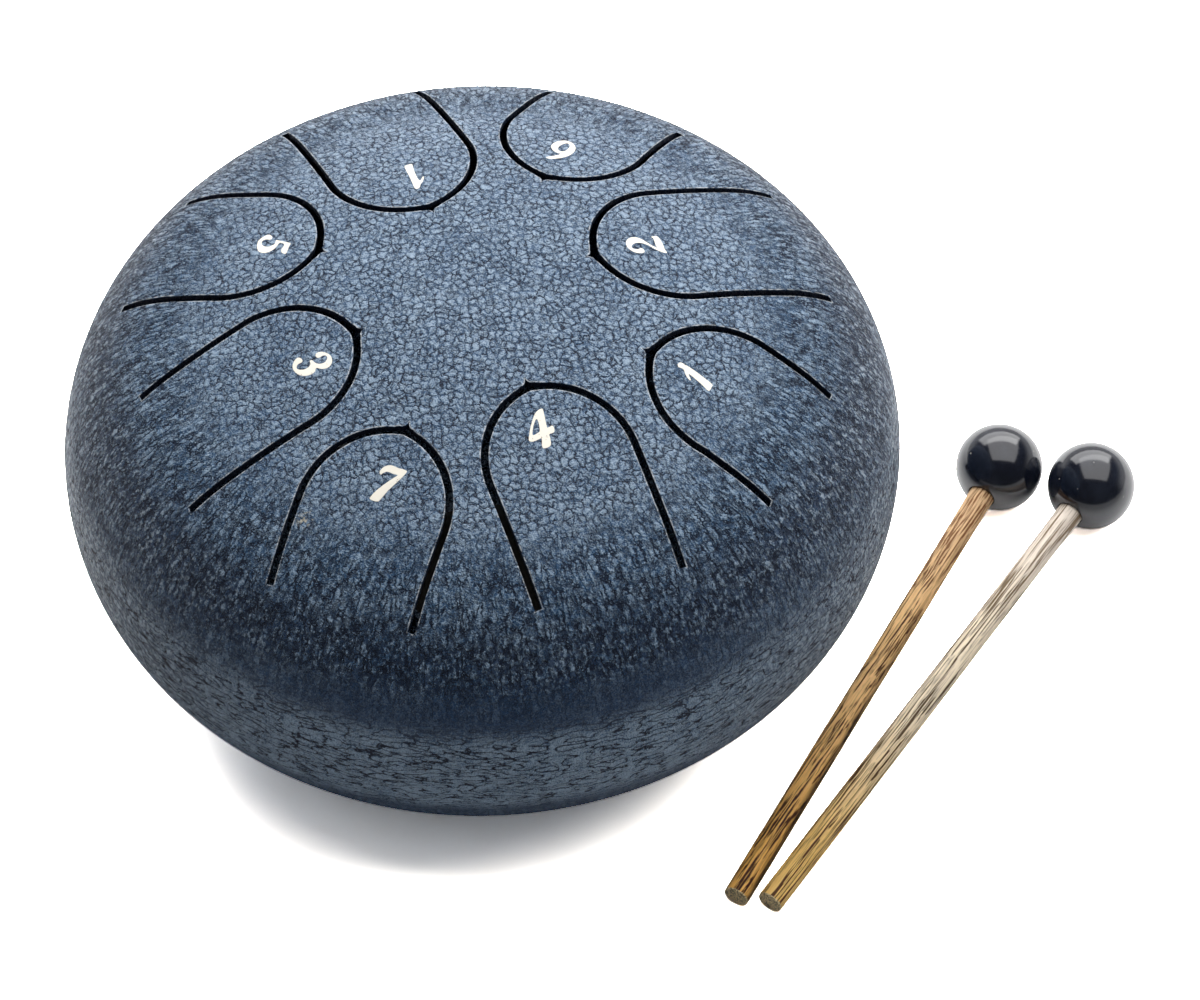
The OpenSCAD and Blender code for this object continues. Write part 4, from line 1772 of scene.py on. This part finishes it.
@dataclass
class Mallet:
    """A wooden stick pushed into a rubber ball, lying on the table."""

    side: Side
    bearing: float
    length: float
    wood: DowelWood
    wood_slot: str
    rubber: bpy.types.Material
    dust: bpy.types.Material
    specks: int
    seed: int
    stick_radius: float = 2.5 * MM
    socket_past: float = 3.0 * MM
    chamfer: float = 0.25 * MM
    socket_gap: float = 0.02 * MM
    mouth_lip: float = 0.35 * MM
    unevenness: float = 0.05 * MM
    speck_sizes: Point = (0.05 * MM, 0.19 * MM)
    speck_shape: Point = (0.8, 0.5)
    ball_steps: int = 96
    stick_steps: int = 56
    stick_rows: int = 90
    ball_radius: float = field(init=False)
    centre: Vector = field(init=False)

    def __post_init__(self) -> None:
        """Reads where the ball is."""
        low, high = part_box(f"mallet_head_{self.side.value}")
        self.ball_radius = (high.z - low.z) / 2
        self.centre = (low + high) / 2

    @property
    def reach(self) -> float:
        """Length from the ball's middle to the stick's far end."""
        return self.length - self.ball_radius

    @property
    def turn(self) -> tuple[float, float, float]:
        """The mallet's turn from its own place, where the stick runs along -X."""
        tip = self.stick_radius
        slope = math.asin(self.ball_radius / math.hypot(self.reach, tip))
        slope -= math.atan2(tip, self.reach)
        return (0.0, -slope, math.radians(self.bearing))

    def placed(self, points: np.ndarray) -> np.ndarray:
        """Moves points that were turned round Z to the mallet's place on the table."""
        own = np.column_stack([points[:, 2], points[:, 1], -points[:, 0]])
        return own @ np.array(Euler(self.turn).to_matrix()).T + np.array(self.centre)

    def build(self) -> None:
        """Makes the ball, the dust on it and the stick."""
        name, body = self.side.value, f"mallet_{self.side.value}"
        ball = self.build_ball()
        dust = self.build_dust(ball.data.copy())
        settle(ball, body, [f"mallet_head_{name}"])
        settle(dust, body)
        settle(self.build_stick(), body, [f"mallet_stick_{name}"])

    def build_ball(self) -> bpy.types.Object:
        """Makes the ball, with the rounded mouth of its socket."""
        radius, lip = self.ball_radius, self.mouth_lip
        socket = self.stick_radius + self.socket_gap
        mouth = math.degrees(math.asin((socket + lip) / (radius - lip)))
        lip_y = -math.sqrt((radius - lip) ** 2 - (socket + lip) ** 2)
        bottom = self.socket_past + self.socket_gap
        profile: list[Point] = [(0.0, bottom), (socket, bottom)]
        profile += arc((socket + lip, lip_y), lip, 180, 270 + mouth, 6)
        profile += arc((0.0, 0.0), radius, mouth - 90, 90, 72)[1:-1] + [(0.0, radius)]
        points, faces = lathe(profile, self.ball_steps)
        name = f"mallet_ball_{self.side.value}"
        return make_piece(name, self.placed(points), faces, self.rubber, point_outwards)

    def build_dust(self, ball: bpy.types.Mesh) -> bpy.types.Object:
        """Strews a few specks of dust over the ball."""
        growth = GrowthTree("ball_dust")
        bench = growth.bench
        seed = growth.size("Seed", self.seed)
        area = 4 * math.pi * self.ball_radius**2
        density = growth.size("Specks per Area", self.specks / area)
        smallest = growth.size("Smallest Speck", self.speck_sizes[0])
        largest = growth.size("Largest Speck", self.speck_sizes[1])
        strewn = bench.node(
            "GeometryNodeDistributePointsOnFaces",
            Mesh=growth.inlet.outputs["Geometry"],
            Density=density,
            Seed=seed,
        )
        speck = bench.node("GeometryNodeMeshIcoSphere", Radius=1.0, Subdivisions=1)
        sizes = bench.node("FunctionNodeRandomValue", {"data_type": "FLOAT"}, Seed=seed)
        bench.feed(sizes.inputs[2], smallest)
        bench.feed(sizes.inputs[3], largest)
        size = sizes.outputs[1]
        placed = bench.node(
            "GeometryNodeInstanceOnPoints",
            Points=strewn.outputs["Points"],
            Instance=speck.outputs["Mesh"],
            Rotation=strewn.outputs["Rotation"],
            Scale=bench.join(size, *(bench.times(size, share) for share in self.speck_shape)),
        )
        growth.close(placed.outputs["Instances"])
        return growth.grow(f"ball_dust_{self.side.value}", ball, self.dust)

    def build_stick(self) -> bpy.types.Object:
        """Makes the stick, a hand-cut dowel that isn't quite even."""
        radius, chamfer = self.stick_radius, self.chamfer
        far, near, flat = -self.reach, self.socket_past, radius - chamfer
        profile: list[Point] = [(share * flat, far) for share in (0.0, 0.35, 0.7, 0.95)]
        profile += arc((flat, far + chamfer), chamfer, -90, 0, 3)
        lengths = np.linspace(far + 2 * chamfer, near - chamfer, self.stick_rows)
        profile += [(radius, float(y)) for y in lengths] + [(flat, near), (0.0, near)]
        points, faces = lathe(profile, self.stick_steps)
        points[:, :2] *= self.uneven(points)[:, None]
        finish = self.wood.build(self.centre, self.turn, self.reach)
        name = f"mallet_dowel_{self.side.value}"
        return make_piece(name, self.placed(points), faces, finish, point_outwards)

    def uneven(self, points: np.ndarray) -> np.ndarray:
        """Gives the share of its radius that the stick has at each point, in and out of true."""
        around = np.arctan2(points[:, 1], points[:, 0])
        along = points[:, 2] / self.reach
        # Long dips that wind slowly round the stick, and shorter ones between them.
        dips = np.sin(9.0 * along + self.seed) * np.cos(2 * around + 3.0 * along)
        dips += 0.6 * np.sin(23.0 * along + 2.0 * around + self.seed)
        outside = np.clip(-points[:, 2] / self.ball_radius - 1.0, 0.0, 1.0)
        return 1.0 - self.unevenness / self.stick_radius * outside * (1.0 + dips / 1.6)


# The studio


@dataclass
class Studio:
    """White table, soft light from above and behind, and the camera, as in the photograph."""

    form: DrumForm
    floor_reach: float = 3.0
    table_colour: float = 0.86
    # In reflections the table goes from dimmer in front of the drum to brighter than white behind
    # it,
    table_mirrored: Point = (0.65, 1.7)
    # a painted reflection that puts a sheen on the drum's sides.
    mirrored_from: Point = (-0.045, 0.020)
    white_from: Point = (0.45, 1.3)
    table_seen: float = 17.5
    # How bright the camera sees the table right under the drum: painted shade.
    painted_shade_under_drum: float = 0.08
    table_tint: Colour = (1.0, 0.935, 0.860)
    # Distances from the drum's axis over which that painted shade fades out.
    painted_shade_reach: Point = (0.036, 0.078)
    ambient: float = 0.06
    room: float = 0.06
    white_up: Point = (0.50, 0.12)
    white_back: Point = (-0.45, 0.10)
    picture_width: int = 1200
    focal_pixels: float = 4802.5
    camera_radii: float = 11.5233
    elevation: float = 0.882106
    roll: float = -0.0380082
    yaw: float = -0.0238982
    pitch: float = -0.0133994
    sensor: float = 36.0

    def build(self) -> None:
        """Sets up the table, the surroundings, the lights and the camera."""
        self.build_table()
        self.build_surroundings()
        self.build_lights()
        self.build_camera()
        bpy.context.scene.view_settings.view_transform = "Standard"

    @staticmethod
    def seen(bench: NodeBench) -> tuple[Socket, Socket]:
        """Gives 1 for rays from the camera, and 1 for mirrored rays and those let through."""
        path = bench.node("ShaderNodeLightPath")
        camera, glossy, let_through = (
            path.outputs[f"Is {kind} Ray"] for kind in ("Camera", "Glossy", "Transmission")
        )
        return camera, bench.math("MAXIMUM", glossy, let_through)

    def build_table(self) -> None:
        """Lays the white table top, brightest near the drum, white far off, clear from below.

        Right under the drum it is painted dark as shade; in reflections it is brighter than white
        behind the drum, a painted reflection.
        """
        reach = self.floor_reach
        corners = [(-reach, -reach, 0), (reach, -reach, 0), (reach, reach, 0), (-reach, reach, 0)]
        material = bpy.data.materials.new("white_table")
        material.use_nodes = True
        material.node_tree.nodes.clear()
        bench = NodeBench(material.node_tree)
        camera, mirrored = self.seen(bench)
        place = bench.node("ShaderNodeTexCoord").outputs["Object"]
        from_drum = bench.vector("SUBTRACT", place, (self.form.axis_x, 0.0, 0.0))
        from_axis = bench.vector("LENGTH", from_drum)
        # Seen from the camera, the table is painted nearly black right under the drum, as shade.
        shown_with_painted_shade = bench.step(from_axis, *self.painted_shade_reach, self.painted_shade_under_drum, self.table_seen)
        back = bench.split(place)[1]
        # Painted reflection: the table looks brighter than white behind the drum in reflections.
        painted_reflection = bench.step(back, *self.mirrored_from, *self.table_mirrored)
        bright = bench.blend(mirrored, self.table_colour, painted_reflection)
        bright = bench.blend(camera, bright, shown_with_painted_shade)
        warm = bench.vector("SCALE", bench.mix(camera, (1.0, 1.0, 1.0), self.table_tint), bright)
        matt = bench.node("ShaderNodeBsdfDiffuse", Color=warm)
        far = bench.step(bench.vector("LENGTH", place), *self.white_from)
        glowing = bench.times(far, bench.math("MAXIMUM", camera, mirrored))
        glow = bench.node("ShaderNodeEmission", Strength=glowing)
        clear = bench.node("ShaderNodeBsdfTransparent")
        below = bench.node("ShaderNodeNewGeometry").outputs["Backfacing"]
        both = bench.node("ShaderNodeAddShader")
        sided = bench.node("ShaderNodeMixShader", Fac=below)
        for number, part in ((0, matt), (1, glow)):
            bench.feed(both.inputs[number], part.outputs[0])
        for number, part in ((1, both), (2, clear)):
            bench.feed(sided.inputs[number], part.outputs[0])
        bench.node("ShaderNodeOutputMaterial", Surface=sided.outputs[0])
        make_piece("table_top", corners, [(0, 1, 2, 3)], material)

    def build_surroundings(self) -> None:
        """Sets white surroundings behind, a dim room overhead and in front, and some light."""
        world = bpy.data.worlds.new("studio")
        world.use_nodes = True
        bpy.context.scene.world = world
        bench = NodeBench(world.node_tree)
        camera, mirrored = self.seen(bench)
        _, back, up = bench.split(bench.node("ShaderNodeTexCoord").outputs["Generated"])
        white = bench.times(bench.step(up, *self.white_up), bench.step(back, *self.white_back))
        around = bench.blend(white, self.room, 1.0)
        strength = bench.blend(camera, bench.blend(mirrored, self.ambient, around), 1.0)
        background = world.node_tree.nodes["Background"]
        background.inputs["Color"].default_value = (1.0, 1.0, 1.0, 1.0)
        bench.feed(background.inputs["Strength"], strength)

    def build_lights(self) -> None:
        """Hangs a very large soft box above the drum, and a wide one low behind it."""
        self.soft_box("soft_box_above", (0.22, 0.26, 0.94), (1.40, 1.50), 14.0)
        self.soft_box("soft_box_behind", (0.12, 0.98, 0.72), (1.80, 0.80), 16.0)

    def soft_box(
        self, name: str, place: tuple[float, float, float], size: Point, power: float
    ) -> None:
        """Hangs a rectangular light that points at the drum, with two of its edges level.

        Args:
            name: the light's name.
            place: its middle, from the drum's middle.
            size: its width and height.
            power: its power in watts.
        """
        light = bpy.data.lights.new(name, "AREA")
        light.shape = "RECTANGLE"
        light.size, light.size_y = size
        light.energy = power
        lamp = bpy.data.objects.new(name, light)
        lamp.location = Vector(place) + Vector((self.form.axis_x, 0.0, self.form.equator_z))
        away = Vector(place).normalized()
        across = (Vector((1.0, 0.0, 0.0)) - away * away.x).normalized()
        lamp.rotation_euler = Matrix((across, away.cross(across), away)).transposed().to_euler()
        bpy.context.scene.collection.objects.link(lamp)

    def build_camera(self) -> None:
        """Puts the camera where the photograph was taken from."""
        away = self.camera_radii * self.form.radius
        middle = Vector((self.form.axis_x, 0.0, self.form.equator_z))
        offset = Vector((0.0, -math.cos(self.elevation), math.sin(self.elevation))) * away
        ahead = -offset.normalized()
        right = Vector((1.0, 0.0, 0.0))
        up = right.cross(ahead)
        yawed = Matrix.Rotation(self.yaw, 3, up)
        ahead, right = yawed @ ahead, yawed @ right
        pitched = Matrix.Rotation(self.pitch, 3, right)
        ahead, up = pitched @ ahead, pitched @ up
        across = math.cos(self.roll) * right + math.sin(self.roll) * up
        upwards = -math.sin(self.roll) * right + math.cos(self.roll) * up
        turn = Matrix((across, upwards, -ahead)).transposed()
        data = bpy.data.cameras.new("studio_camera")
        data.sensor_width = self.sensor
        data.lens = self.focal_pixels / self.picture_width * self.sensor
        data.clip_end = 20.0
        camera = bpy.data.objects.new("studio_camera", data)
        camera.matrix_world = Matrix.Translation(middle + offset) @ turn.to_4x4()
        bpy.context.scene.collection.objects.link(camera)
        bpy.context.scene.camera = camera


BROWN_WOOD = DowelWood(
    name="brown_dowel",
    at_ball=WoodTone((0.78, 0.52, 0.29), (0.24, 0.11, 0.045)),
    at_middle=WoodTone((0.92, 0.57, 0.25), (0.075, 0.030, 0.010)),
    at_end=WoodTone((0.95, 0.52, 0.14), (0.060, 0.020, 0.006)),
    flank=(0.030, 0.015, 0.010),
    flank_share=0.9,
    right_shade_share=0.9,
    flame=0.9,
    lean=0.05,
    seed=0.0,
)
GREY_WOOD = DowelWood(
    name="grey_dowel",
    at_ball=WoodTone((0.86, 0.76, 0.66), (0.24, 0.17, 0.11)),
    at_middle=WoodTone((0.94, 0.80, 0.60), (0.10, 0.064, 0.034)),
    at_end=WoodTone((0.97, 0.62, 0.20), (0.090, 0.036, 0.010)),
    flank=(0.085, 0.052, 0.028),
    flank_share=0.7,
    right_shade_share=0.25,
    flame=0.3,
    lean=0.0,
    seed=0.37,
)


def main() -> None:
    """Builds the drum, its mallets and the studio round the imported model."""
    logging.basicConfig(level=logging.INFO, format="%(message)s")
    form = DrumForm()
    cuts = TongueCuts(form)
    paint = CracklePaint(form.axis_x, form.equator_z, form.radius, form.shoulder_radius).build()
    plating = BareSteel("plated_steel", (0.62, 0.63, 0.65), 0.28).build()
    weld = BareSteel("weld_root", (0.33, 0.33, 0.34), 0.42, (0.20, 0.14, 0.10)).build()
    Studio(form).build()
    UpperShell(form, cuts, paint).build()
    LowerShell(form, paint).build()
    Numerals(form, Foil().build()).build()
    SeamWeld(form, weld).build()
    FootSet(form, FootRubber().build(), plating).build()
    rubber, dust = GlossRubber().build(), Dust().build()
    brown, grey = (BROWN_WOOD, "brown_wood"), (GREY_WOOD, "grey_wood")
    Mallet(Side.LEFT, 58.7, 119.0 * MM, *brown, rubber, dust, specks=5, seed=4).build()
    Mallet(Side.RIGHT, 52.74, 122.0 * MM, *grey, rubber, dust, specks=24, seed=7).build()


if __name__ == "__main__":
    main()
